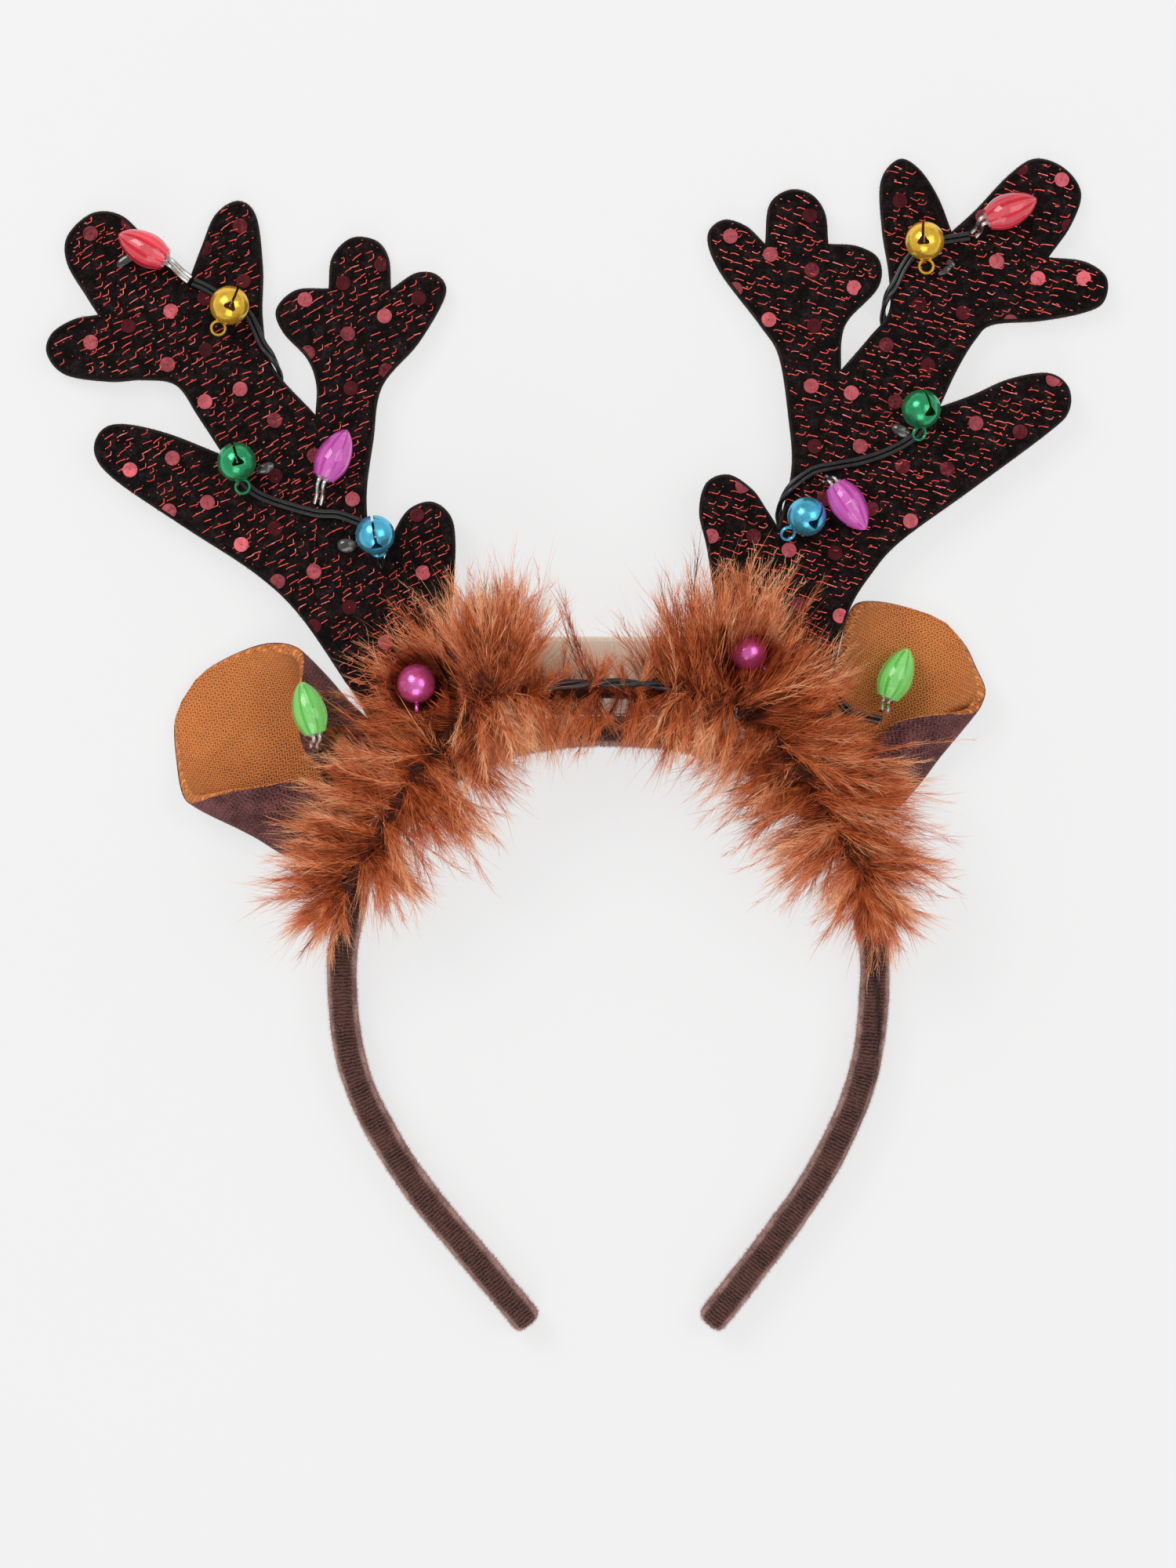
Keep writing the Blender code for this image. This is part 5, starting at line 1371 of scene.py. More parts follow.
def fuzz_on(name, obj, density, size, lean, seed, colour_name, colour):
    """A piece of loose fibres over another piece."""
    tree = bpy.data.node_groups.get("Fuzz") or fuzz_tree()
    made = ready(colour_name, lambda n: fibre_finish(n, colour))
    return grown(name, tree, obj.data.copy(), fibre=fibre_object(), density=density, length=size,
                 lean=lean, seed=seed, material=made), made


def route_mesh(name, lines):
    """Bare edges along each line of points."""
    points, edges = [], []
    for line in lines:
        start = len(points)
        points += [tuple(p) for p in line]
        edges += [(start + i, start + i + 1) for i in range(len(line) - 1)]
    return plain_mesh(name, points, edges)


def tubes(name, lines, radius, material, step=0.0006, sides=10):
    tree = bpy.data.node_groups.get("Wire") or tube_tree()
    return grown(name, tree, route_mesh(name + " route", lines), radius=radius, step=step,
                 sides=sides, material=material)


# Band

def groove_angle(share):
    """Where the seam groove runs round the right leg's section: 90 is the front."""
    return radians(96 - 78 * ease(share, 0.46, 0.72))


def band_mesh():
    sides, steps, bulge = 32, 420, 0.8
    round_share = TIP_ROUND / HOOP.half_length
    shares = [-1 + round_share * v for v in (0.0, 0.06, 0.2, 0.42, 0.7)]
    sizes = [0.30, 0.62, 0.82, 0.94, 0.99]
    rows = list(zip(shares, sizes))
    rows += [(s, 1.0) for s in np.linspace(-1 + round_share, 1 - round_share, steps)]
    rows += [(-s, v) for s, v in reversed(list(zip(shares, sizes)))]
    rings, grooves, edges = [], [], []
    for share, size in rows:
        centre, _, out = HOOP.at(share)
        near = [HOOP.at(min(max(share + v, -1.0), 1.0))[0] for v in np.linspace(-0.05, 0.05, 9)]
        slack = ease(abs(share), 0.5, 0.6) * (1 - ease(abs(share), 0.93, 0.98))
        centre = centre.lerp(sum(near, Vector()) / 9, slack)
        ring = []
        lump = 1.0 + 0.012 * sin(share * 61.0) + 0.008 * sin(share * 143.0 + 1.0)
        seam = groove_angle(share)
        deep = ease(share, 0.40, 0.47) * (1 - ease(share, 0.76, 0.90))
        for a in angles(sides):
            off = (a - seam + pi) % (2 * pi) - pi
            cut = deep * exp(-(off / 0.15) ** 2)
            # The groove mask also paints shade: the velvet's colour goes nearly black in the seam
            # groove.
            grooves.append(cut)
            # Painted sheen: this mask rises towards the band's sides, which the velvet's colour
            # makes paler.
            edges.append(ease(abs(cos(a)), 0.50, 0.84))
            keep = (1 - 0.16 * cut) * lump
            r = copysign(abs(cos(a)) ** bulge, cos(a)) * BAND_THICK / 2
            z = copysign(abs(sin(a)) ** bulge, sin(a)) * BAND_DEPTH / 2
            ring.append(centre + out * r * size * keep
                        + UP * max(BAND_DEPTH / 2 + z * size * keep, 0.0))
        rings.append(ring)
    round_length = 0.026
    far = [s * HOOP.half_length for s, _ in rows]
    mesh = ring_mesh("headband_velvet", rings,
                     lambda row, i: (far[row], round_length * i / sides))
    mark(mesh, "groove", grooves)
    mark(mesh, "edge", edges)
    return mesh


# Antlers

def plate_mesh(name, outline, low, thickness, soft, base=0.0):
    """A flat plate whose top and bottom edges are rounded."""
    steps = [(soft, base), (soft * 0.3, base + soft * 0.3), (0.0, base + soft),
             (0.0, thickness - soft), (soft * 0.3, thickness - soft * 0.3),
             (soft, thickness)]
    rings = []
    for inwards, lift in steps:
        points = inset(outline, inwards) if inwards else outline
        rings.append([Vector((x, y, low(y) + lift)) for x, y in points])
    return ring_mesh(name, rings)


def sequin_places(antler, rows, seed):
    """A point on the cloth for each sequin, with its tone and its small tilt."""
    chance = np.random.default_rng(seed)
    points, shades, tilts = [], [], []
    for x, y, tone in rows:
        x, y = x / 1000, y / 1000
        points.append((x, y, antler.front(y) + chance.uniform(0.00012, 0.00030)))
        shades.append(tone)
        lean = 0.09 if tone < 0.8 else 0.16
        tilts += [-antler.lean + chance.uniform(-lean, lean), chance.uniform(-lean, lean), 0.0]
    mesh = plain_mesh("Sequin places", points)
    mark(mesh, "tone", shades)
    mark(mesh, "tilt", tilts, "FLOAT_VECTOR")
    return mesh


def sequin_shape(width):
    """A thin disc, slightly cupped, with a tiny hole."""
    rows = [(0.00012, 0.0), (width * 0.3, 0.00001), (width * 0.47, 0.00005), (width / 2, 0.00003),
            (width * 0.47, 0.0)]
    bm = bmesh.new()
    loops = []
    for radius, height in rows:
        loops.append([bm.verts.new((radius * cos(a), radius * sin(a), height))
                      for a in angles(20)])
    for a, b in zip(loops, loops[1:]):
        for i in range(20):
            j = (i + 1) % 20
            bm.faces.new((a[j], a[i], b[i], b[j])[::-1])
    mesh = baked(bm, "Sequin")
    mesh.shade_smooth()
    return mesh


def strip_shapes():
    """Three lurex strips, lying over the cloth and dipping in at their ends."""
    mm = 0.001
    plans = {
        "Strip straight": [(-1.25, 0.0, -0.08), (-0.9, 0.03, 0.12), (0.0, 0.0, 0.17),
                           (0.9, -0.03, 0.12), (1.25, 0.0, -0.08)],
        "Strip hooked": [(-1.4, -0.65, -0.08), (-1.15, -0.15, 0.12), (-0.3, 0.0, 0.16),
                         (0.7, 0.0, 0.14), (1.15, 0.06, -0.08)],
        "Strip zigzag": [(-1.25, 0.1, -0.08), (-0.45, 0.0, 0.16), (0.5, 0.05, 0.16),
                         (0.8, 0.5, 0.13), (0.95, 0.95, -0.08)],
    }
    made = []
    for name, rows in plans.items():
        points = [tuple(v * mm for v in row) for row in rows]
        mesh = flat_strip(name, points, [0.00012, 0.00018, 0.00020, 0.00018, 0.00012])
        made.append(tool_object(name, mesh))
    return made


def speck_shapes():
    """Short bits of lurex that show between the rows."""
    made = []
    for name, long in (("Speck long", 0.0006), ("Speck short", 0.0004), ("Speck dot", 0.00025)):
        rows = [(-long / 2, 0, 0.0), (0, 0, 0.00014), (long / 2, 0, 0.0)]
        made.append(tool_object(name, flat_strip(name, rows, [0.00016, 0.0002, 0.00016])))
    return made


def trimmed(mesh, outline):
    """Moves what reaches over a closed outline back to its edge, so that the edge cuts it."""
    line = np.array(outline)
    ahead = np.roll(line, -1, axis=0) - line
    for v in mesh.vertices:
        p = np.array(v.co.xy)
        gone = p - line
        side = (line[:, 1] > p[1]) != (np.roll(line[:, 1], -1) > p[1])
        with np.errstate(divide="ignore", invalid="ignore"):
            cross = line[:, 0] + gone[:, 1] / ahead[:, 1] * ahead[:, 0]
        if np.count_nonzero(side & (p[0] < cross)) % 2:
            continue
        share = np.clip((gone * ahead).sum(1) / (ahead ** 2).sum(1), 0, 1)
        near = line + ahead * share[:, None]
        v.co.xy = near[int(np.argmin(np.hypot(*(near - p).T)))]
    return mesh


# Ears

def smooth_rows(rows, steps):
    """The ear's table with smooth rows between its own."""
    out = []
    for row in smooth_path([[row[c] for c in EAR_COLUMNS] for row in rows], steps):
        row[4:6] = np.clip(row[4:6], 3, 174)
        row[0] = min(max(row[0], 0.0), 1.0)
        out.append(dict(zip(EAR_COLUMNS, row)))
    return out


def ear_mesh(name, ear, outside, inside, across, wrinkle):
    """One cloth of an ear, out over its outer face and back over its inner one."""
    rows = smooth_rows(ear.rows, 5)
    plans = [(row, 0.0) for row in rows] + [(rows[-1], 0.0001)]
    shares = [2 * k / across - 1 for k in range(across + 1)]
    thinned = outside or inside      # the velvet's inner face, or the lining's outer one
    rings, spans = [], []
    for row, closed in plans:
        def depth(v, face):
            thin = max(ease(row["along"], 0.80, 1.0), ease(abs(v), 0.80, 1.0))
            return face * (1 - 0.85 * thin * (face == thinned))
        half = row["depth"] * EAR_DEPTH / 2
        ring, span = [], []
        low = [(v, depth(v, outside) + closed) for v in shares]
        high = [(v, depth(v, inside) - closed) for v in shares]
        plan = low + [(1.02, (low[-1][1] + high[-1][1]) / 2)]
        plan += high[::-1] + [(-1.02, (low[0][1] + high[0][1]) / 2)]
        for v, depth in plan:
            side = "upper" if v > 0 else "lower"
            roll, width = row[side + "_roll"], row[side]
            angle = radians(roll * v)
            reach = (width * ear.half_width - depth) * sin(angle)
            height = EAR_REST + half - (half - depth) * cos(angle)
            p = ear.place(row["along"], reach / ear.half_width, height)
            p.z = max(p.z + wrinkle(p, row["along"], v), EAR_REST + depth)
            span.append(v * radians(roll) * (width * ear.half_width + half) / 2)
            ring.append(p)
        rings.append(ring)
        spans.append(span)
    count = len(rings[0])
    return ring_mesh(name, rings, lambda row, i: (
        spans[row][i % count], plans[row][0]["along"] * ear.length))


def fold(point, start, end, high, wide):
    """A soft ridge of cloth between two places."""
    a, b = Vector(start) / 1000, Vector(end) / 1000
    line = b - a
    gone = point.xy - a
    t = min(max(gone.dot(line) / line.length_squared, 0.0), 1.0)
    off = (gone - line * t).length
    return high * exp(-(off / wide) ** 2) * sin(pi * (0.15 + 0.7 * t))


def left_wrinkle(p, along, v):
    return (fold(p, (-96, -22), (-84, -10), 0.0005, 0.0016)
            + fold(p, (-97, -27), (-80, -25), 0.0006, 0.0018)
            + 0.0001 * sin(v * 26 + along * 4) * ease(along, 0.75, 1.0))


def right_wrinkle(p, along, v):
    return (fold(p, (73, -11.6), (85.5, -2.6), 0.0042, 0.0021)
            - fold(p, (74, -14.0), (86, -6.0), 0.0014, 0.0016)
            + 0.0001 * sin(v * 24 + along * 5) * ease(along, 0.75, 1.0))


# Bells and bulbs

def bell_shape():
    """A thin round shell with a narrow slot that widens into a hole at each end, and a ring."""
    def crimp(a):
        return 1 + 0.018 * exp(-((a - pi * 0.53) / 0.05) ** 2)
    shell = ball_mesh("Shell", BELL_RADIUS, 18, 36, crimp)
    hollow = ball_mesh("Hollow", BELL_RADIUS - BELL_WALL, 12, 24)
    reach = BELL_RADIUS * 1.5
    half = BELL_SLOT / 2
    hole = [(0.0, 0.50), (0.12, 0.34), (0.30, 0.10), (0.32, 0.02), (0.24, -0.05),
            (-0.24, -0.05), (-0.32, 0.02), (-0.30, 0.10), (-0.12, 0.34)]
    cutters = [hollow]
    slot = [(-half, 0.3 * BELL_RADIUS), (half, 0.3 * BELL_RADIUS), (half, reach), (-half, reach)]
    mouth = [(y * BELL_RADIUS, z * BELL_RADIUS) for y, z in hole]
    for n, plan in enumerate((slot, mouth)):
        rings = [[Vector((x, y, z)) for y, z in plan] for x in (-reach, reach)]
        cutters.append(ring_mesh(f"Cutter {n}", rings))
    body = carved("Bell body", shell, *cutters)
    centre = Vector((0, 0, -BELL_RADIUS - BELL_RING + BELL_RING_WIRE * 0.6))
    turns = []
    for a in angles(24):
        spoke = Vector((0, sin(a), cos(a)))
        turns.append([centre + spoke * (BELL_RING + BELL_RING_WIRE * cos(b))
                      + Vector((BELL_RING_WIRE * 1.25 * sin(b), 0, 0))
                      for b in angles(10)])
    ring = ring_mesh("Bell ring", turns, closed=True, caps=False)
    return joined("Bell", body, ring)


def cover_shape():
    """A bulb cover with a flared open base and fluted walls."""
    outer = smooth_path([np.array((r * BULB_RADIUS, h * BULB_LENGTH)) for r, h in BULB_ROWS], 4)
    rows = [(0, BULB_LENGTH)] + [tuple(p) for p in outer[::-1]]
    rows += [(0.70 * BULB_RADIUS, 0.0), (0.52 * BULB_RADIUS, 0.0)]
    turn = len(rows)
    inner = [(r - BULB_WALL, h) for r, h in outer[3:-1]]
    rows += [tuple(p) for p in inner] + [(0, BULB_LENGTH - 2.5 * BULB_WALL)]

    def flute(k, a):
        if k >= turn:
            return 1 - 0.07 * (0.5 + 0.5 * cos(8 * a))
        scallop = 0.05 * cos(10 * a) if k >= turn - 3 else 0.0
        return 1 + 0.006 * cos(8 * a) + scallop
    mesh = turned_mesh("Cover", rows, 40, flute)
    shades = np.random.default_rng(3).uniform(0, 1, 40)
    turns = [round(atan2(v.co.y, v.co.x) / pi * 20) % 40 for v in mesh.vertices]
    mark(mesh, "streak", [shades[k] for k in turns])
    return mesh


def light_shape():
    top = LIGHT_LENGTH
    dome = [(LIGHT_RADIUS * cos(a), top - LIGHT_RADIUS + LIGHT_RADIUS * sin(a))
            for a in (1.3, 1.0, 0.7, 0.35, 0.0)]
    flange = LIGHT_RADIUS * 1.15
    rows = [(0, top)] + dome + [(LIGHT_RADIUS, LIGHT_FLANGE * 2), (flange, LIGHT_FLANGE),
                                (flange, 0), (0, 0)]
    return turned_mesh("Light", rows, 18)


def bell_places(antler, bells):
    for colour, (across, up, ring_turn, roll, on_wire, tip) in bells.items():
        centre = antler.on(across, up, GAP + on_wire * (WIRE_THICK + GAP) + BELL_RADIUS)
        turn = radians(ring_turn)
        away = Vector((-cos(turn), -sin(turn), tip))
        yield colour, centre, pose(centre, away, radians(roll))


def bulb_places():
    """Each bulb's side, colour, base, tip and the end of its leads."""
    clear = GAP + WIRE_THICK / 2
    ends = {("left", "red"): LEFT.on(-0.610, 0.861, clear),
            ("left", "magenta"): LEFT.on(-0.294, 0.471, clear),
            ("right", "red"): RIGHT.on(0.484, 0.874, clear),
            ("right", "magenta"): RIGHT.on(0.118, 0.478, clear)}
    for word, antler, bulbs in (("left", LEFT, LEFT_BULBS), ("right", RIGHT, RIGHT_BULBS)):
        for colour, (base_x, base_y, tip_x, tip_y) in bulbs.items():
            lift = GAP + BULB_RADIUS
            flat = antler.flat(base_x, base_y)
            end = flat + (antler.flat(tip_x, tip_y) - flat).normalized() * BULB_LENGTH
            tip = Vector((end.x, end.y, antler.front(end.y) + lift))
            yield word, colour, antler.on(base_x, base_y, lift), tip, ends[word, colour]
    left_height = LEFT_EAR.top(0.5) + GAP + BULB_RADIUS
    a, b, c, d = LEFT_EAR_BULB
    yield ("left", "green", LEFT_EAR.place(a, b, left_height), LEFT_EAR.place(c, d, left_height),
           LEFT_EAR.place(0.385, 0.21, left_height - BULB_RADIUS / 2))
    right_height = EAR_REST + VELVET_THICK + LINING_THICK + 2 * GAP + BULB_RADIUS
    a, b, c, d = RIGHT_EAR_BULB
    yield ("right", "green", RIGHT_EAR.place(a, b, right_height),
           RIGHT_EAR.place(c, d, right_height),
           RIGHT_EAR.place(0.475, 0.08, RIGHT_EAR.top(0.45) + clear))


# Wires

def wire_cores(route, outward, twist):
    """The two cores' lines along a route of centres and facings."""
    fine = smooth_path(route, 10)
    cores = ([], [])
    for i, row in enumerate(fine):
        p = Vector(row[:3])
        ahead = Vector(fine[min(i + 1, len(fine) - 1)][:3] - fine[max(i - 1, 0)][:3]).normalized()
        turn = pi / 2 * min(max(row[3], -1.0), 1.0)
        beside = UP.cross(ahead).normalized() * outward
        face = UP * sin(turn) + beside * cos(turn)
        face = (face - ahead * face.dot(ahead)).normalized()
        across = ahead.cross(face)
        a = twist * i
        across = across * cos(a) + face * sin(a)
        for core, sign in zip(cores, (-1, 1)):
            core.append(p + across * sign * (WIRE_WIDTH - WIRE_THICK) / 2)
    return cores


def wire_routes():
    left_height = LEFT_EAR.top(0.5) + GAP + BULB_RADIUS
    clear = GAP + WIRE_THICK / 2
    low = BAND_DEPTH + clear
    for name, route in WIRE_ROUTES.items():
        antler = LEFT if name.startswith("left") else RIGHT
        outward = -1 if name in ("right_top", "right_middle") else 1
        yield "wire_" + name, [antler.layer(*row) for row in route], outward
    yield "wire_crown", [TRIM.front(s) for s in np.linspace(-0.15, 0.15, 12)], 1
    yield "wire_left_ear", [
        (*HOOP.at(-0.300)[0].xy, low, 1), (*HOOP.at(-0.330)[0].xy, low, 1),
        (*LEFT_EAR.place(0.04, -0.42, low), 1),
        (*LEFT_EAR.place(0.16, -0.22, max(low, LEFT_EAR.top(0.2) + clear)), 1),
        (*LEFT_EAR.place(0.27, 0.02, LEFT_EAR.top(0.30) + 1.5 * clear), 1),
        (*LEFT_EAR.place(0.36, 0.18, left_height - BULB_RADIUS / 2), 1)], 1
    yield "wire_right_ear", [
        RIGHT.layer(0.060, 0.135), RIGHT.layer(0.128, 0.140),
        (*RIGHT_EAR.place(0.40, 0.45, RIGHT.front(RIGHT.flat(0, 0.13).y)), 1),
        (*RIGHT_EAR.place(0.43, 0.06, RIGHT_EAR.top(0.45) + clear), 1)], 1


def blob_mesh(name, centre, size, turn, seed):
    """A drop of glue pressed onto the cloth."""
    chance = np.random.default_rng(seed)
    bm = bmesh.new()
    bmesh.ops.create_icosphere(bm, subdivisions=3, radius=1.0)
    bumps = [(Vector(chance.normal(size=3)).normalized(), chance.uniform(-0.28, 0.3))
             for _ in range(7)]
    matrix = (Matrix.Translation(centre) @ Matrix.Rotation(radians(turn), 4, "Z")
              @ Matrix.Diagonal((*[v / 2 for v in size], 1.0)))
    for v in bm.verts:
        n = v.co.normalized()
        grow = 1 + sum(h * max(n.dot(w), 0.0) ** 4 for w, h in bumps)
        v.co = matrix @ (n * grow)
    return baked(bm, name)


# Down

def barb_object():
    """A tapering strip that the down tree bends, with its shares along and across."""
    rows = [(0.0, 0.9), (0.32, 1.0), (0.68, 0.70)]
    along = [t for t, _ in rows for _ in (0, 1)] + [1.0]
    across = [s * w for _, w in rows for s in (-0.5, 0.5)] + [0.0]
    mesh = plain_mesh("Barb", [(0, 0, 0)] * 7, faces=[(0, 1, 3, 2), (2, 3, 5, 4), (4, 5, 6)])
    mark(mesh, "along", along)
    mark(mesh, "across", across)
    return tool_object("Barb", mesh)


def root_height(x, y):
    """The core's middle height next to a place."""
    near = int(np.argmin(np.hypot(HOOP.points[:, 0] - x, HOOP.points[:, 1] - y)))
    return TRIM.back(HOOP.share[near]) + TRIM_CORE_DEPTH / 2


# Kinds of plumes: up to which share of them, how far they reach, how many lie together, how far
# they rise, their tone, the length of their barbs, the share of the shaft that has barbs, how far
# these open and how far round the shaft they stand
PLUMES = [
    # Open feathers over the others, soft masses, and fans from the root with long barbs
    (0.34, (0.65, 1.06), (1, 4), (0.000, 0.008), 0.14, (0.0060, 0.0090), 0.95, 0.62, 0.45),
    (0.82, (0.55, 1.06), (2, 6), (-0.009, 0.005), 0.02, (0.0080, 0.0125), 0.75, 0.50, 1.3),
    (1.00, (0.40, 0.90), (1, 4), (-0.006, 0.005), -0.08, None, 0.22, 0.50, 1.5),
]


def plume_roots(tufts, count, seed):
    """Plumes in loose clumps along a row of tufts, each with its way, bend, side and sizes. They
    start on the far side of the root line and cross over it."""
    chance = np.random.default_rng(seed)
    table = np.array(tufts, float)
    rows = []
    while len(rows) < count:
        u = chance.uniform(0, len(table) - 1)
        k = min(int(u), len(table) - 2)
        row = table[k] + (table[k + 1] - table[k]) * (u - k)
        if chance.random() > row[4] / 1.1:
            continue
        near = ROOT_LINE[int(np.argmin(np.hypot(*(ROOT_LINE - row[:2] / 1000).T)))]
        gone = row[2:4] / 1000 - near
        turn = radians(chance.normal() * 15)
        gone = np.array((gone[0] * cos(turn) - gone[1] * sin(turn),
                         gone[0] * sin(turn) + gone[1] * cos(turn)))
        ahead = gone / np.hypot(*gone)
        luck = chance.random()
        _, reach, plumes, high, tone, long, *rest = next(k for k in PLUMES if luck < k[0])
        gone *= chance.uniform(*reach)
        plumes, high = chance.integers(*plumes), chance.uniform(*high)
        long = chance.uniform(*long) if long else np.hypot(*gone) * 0.85
        if abs(row[2]) > 40 and -4 < row[3] < 20:
            tone -= 0.18
        if -17 < row[0] < 10 and row[3] > 0 and chance.random() < 0.93:
            gone *= 0.34
        tone += chance.normal() * 0.14
        base = near - ahead * chance.uniform(-0.0008, 0.0030)
        bare = any(a / 1000 < base[0] < b / 1000 for a, b in WIRE_GLIMPSES)
        if bare and chance.random() < 0.5:
            continue
        lift = chance.uniform(0.004, 0.0095) * (abs(base[0]) < 0.032 and not bare)
        arch = chance.uniform(0.001, 0.005)
        swing = chance.normal() * 0.16
        for _ in range(plumes):
            root = base + chance.uniform(-0.0012, 0.0012, 2)
            end = gone * chance.uniform(0.8, 1.08) + chance.normal(size=2) * 0.0024
            if chance.random() < 0.04:      # strays
                end *= 1.22
            z = root_height(*root) + lift + chance.uniform(-0.003, 0.002)
            tip = max(z + high + chance.normal() * 0.0015, 0.0015)
            across = np.array((-end[1], end[0])) * (swing + chance.normal() * 0.08)
            rise = arch * chance.uniform(0.6, 1.3)
            way = Vector((*(end - across), tip - z + rise))
            side = UP.cross(way).normalized()
            side = (side + Vector((0, 0, chance.uniform(-0.6, 0.6)))).normalized()
            rows.append((Vector((*root, z)), way, Vector((*across, -rise)), side,
                         min(long, way.length * 0.9), *rest, tone))
    roots, ways, bends, sides, *sizes = zip(*rows)
    mesh = plain_mesh("Roots", roots)
    for name, column in (("way", ways), ("bend", bends), ("side", sides)):
        mark(mesh, name, [c for v in column for c in v], "FLOAT_VECTOR")
    for name, column in zip(("long", "span", "open", "round", "tone"), sizes):
        mark(mesh, name, column)
    return mesh


def core_mesh():
    """The bound cord that holds the plumes."""
    rings = []
    for k, (x, y) in enumerate(ROOT_LINE):
        step = ROOT_LINE[min(k + 1, len(ROOT_LINE) - 1)] - ROOT_LINE[max(k - 1, 0)]
        out = Vector((-step[1], step[0], 0)).normalized()
        centre = Vector((x, y, root_height(x, y) - 0.0005))
        wobble = 1 + 0.2 * sin(k * 1.9) * sin(k * 0.7)
        rings.append([centre + (out * cos(a) * 0.0014 + UP * sin(a) * 0.0018) * wobble
                      for a in angles(10)])
    return ring_mesh("Down core", rings)


# The pieces, one operator for each kind

LEFT = Antler(-1, LEFT_ANTLER_HEIGHT, LEFT_TINES)
RIGHT = Antler(1, RIGHT_ANTLER_HEIGHT, RIGHT_TINES)
LEFT_EAR = Ear(-1, LEFT_EAR_LENGTH, LEFT_EAR_HALF_WIDTH, LEFT_EAR_TURN, LEFT_EAR_ROWS)
RIGHT_EAR = Ear(1, RIGHT_EAR_LENGTH, RIGHT_EAR_HALF_WIDTH, RIGHT_EAR_TURN, RIGHT_EAR_ROWS)
SIDES = (("left", LEFT), ("right", RIGHT))
BELLS = (("left", LEFT, LEFT_BELLS), ("right", RIGHT, RIGHT_BELLS))
# How far the right pink bell's clear place is moved, so that a few plumes reach over the bell
PINK_SHIFT = (0.0014, -0.0008, 0.0050)


def flat_area(points):
    x, y = np.array([p[0] for p in points]), np.array([p[1] for p in points])
    return abs(float(np.dot(x, np.roll(y, -1)) - np.dot(y, np.roll(x, -1)))) / 2


def span(points):
    x, y = [p[0] for p in points], [p[1] for p in points]
    return max(x) - min(x), max(y) - min(y)


class MakeBand(bpy.types.Operator):
    """Sweep the padded velvet band along the hoop and raise its pile"""
    bl_idname = "headband.make_band"
    bl_label = "Band"

    def execute(self, context):
        s = context.scene.headband_cloth
        band = add_piece("band_velvet", band_mesh(), ready("Band velvet", velvet_finish),
                         "velvet", "headband", smooth=180)
        # The loose fibres take 3.6 times the velvet's colour: partly their own paler colour, partly
        # painted sheen at the band's outline.
        mesh, made = fuzz_on("band_pile", band, PILE_DENSITY, s.pile, PILE_LEAN, 3, "Band pile",
                             [v * 3.6 for v in s.velvet])
        add_piece("band_pile", mesh, made, "velvet", "headband")
        return {"FINISHED"}


class MakeCase(bpy.types.Operator):
    """Give the battery case its moulded plastic"""
    bl_idname = "headband.make_case"
    bl_label = "Battery case"

    def execute(self, context):
        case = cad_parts["battery_case"]
        made = ready("Case plastic", case_finish)
        for slot in case.material_slots:
            slot.material = made
        return {"FINISHED"}


class MakeAntlers(bpy.types.Operator):
    """Cut the felt bodies and the knit cloths of both antlers"""
    bl_idname = "headband.make_antlers"
    bl_label = "Antlers"

    def execute(self, context):
        s = context.scene.headband_antlers
        for word, antler in SIDES:
            outline = antler.outline(7)
            body = plate_mesh("Felt", outline, antler.back, FELT_THICK, 0.0004)
            felt = add_piece(f"felt_{word}", body, ready("Felt", felt_finish), "felt",
                             f"antler_{word}_felt", smooth=50)
            span(outline)
            flat_area(outline)
            mesh, made = fuzz_on(f"felt_{word}_fuzz", felt, *FELT_FUZZ, "Felt fuzz",
                                 [v * 1.6 for v in s.felt])
            add_piece(f"felt_{word}_fuzz", mesh, made, "felt")
            trim = inset(outline, FELT_RIM)
            face = plate_mesh("Cloth", trim, antler.back, FELT_THICK + GAP + CLOTH_THICK, 0.0003,
                              FELT_THICK + 0.00004)
            cloth = add_piece(f"cloth_{word}", face, ready("Knit cloth", cloth_finish),
                              "sequin_cloth", f"antler_{word}_cloth", smooth=50)
            span(trim)
            flat_area(trim)
        return {"FINISHED"}


class MakeLurex(bpy.types.Operator):
    """Lay the metallic strips and the sequins on the antlers' cloths"""
    bl_idname = "headband.make_lurex"
    bl_label = "Lurex and sequins"

    def execute(self, context):
        s = context.scene.headband_antlers
        strips, specks = strip_shapes(), speck_shapes()
        lurex = ready("Lurex", lurex_finish)
        shine = ready("Sequin", sequin_finish)
        tree, round_tree = stitch_tree(), sequin_tree()
        disc = tool_object("Sequin", sequin_shape(s.sequin_width))
        plans = (("left", LEFT, 0.46, LEFT_SEQUINS), ("right", RIGHT, -0.32, RIGHT_SEQUINS))
        for word, antler, slope, sequins in plans:
            cloth = bpy.data.objects[f"cloth_{word}"]
            middle = antler.flat(-0.4 if word == "left" else 0.3, 0.5)
            for name, shapes, row, pitch, reach, share, seed in (
                    ("lurex", strips, s.row_pitch, s.strip_pitch, 0.0011, 0.84, 2),
                    ("specks", specks, s.row_pitch * 0.9, s.strip_pitch * 0.6, 0.0003, 0.4, 9)):
                mesh = grown(f"{name}_{word}", tree, cloth.data.copy(), strip_a=shapes[0],
                             strip_b=shapes[1], strip_c=shapes[2], row_pitch=row,
                             strip_pitch=pitch, slope=slope, reach=reach, centre=middle,
                             share=share, seed=seed, material=lurex)
                add_piece(f"{name}_{word}", mesh, lurex, "sequin_cloth", smooth=180)
            mesh = grown(f"sequins_{word}", round_tree, sequin_places(antler, sequins, 4),
                         sequin=disc, material=shine)
            trimmed(mesh, inset(antler.outline(7), FELT_RIM + 0.0001))
            add_piece(f"sequins_{word}", mesh, shine, "sequin_cloth", smooth=180)
        return {"FINISHED"}


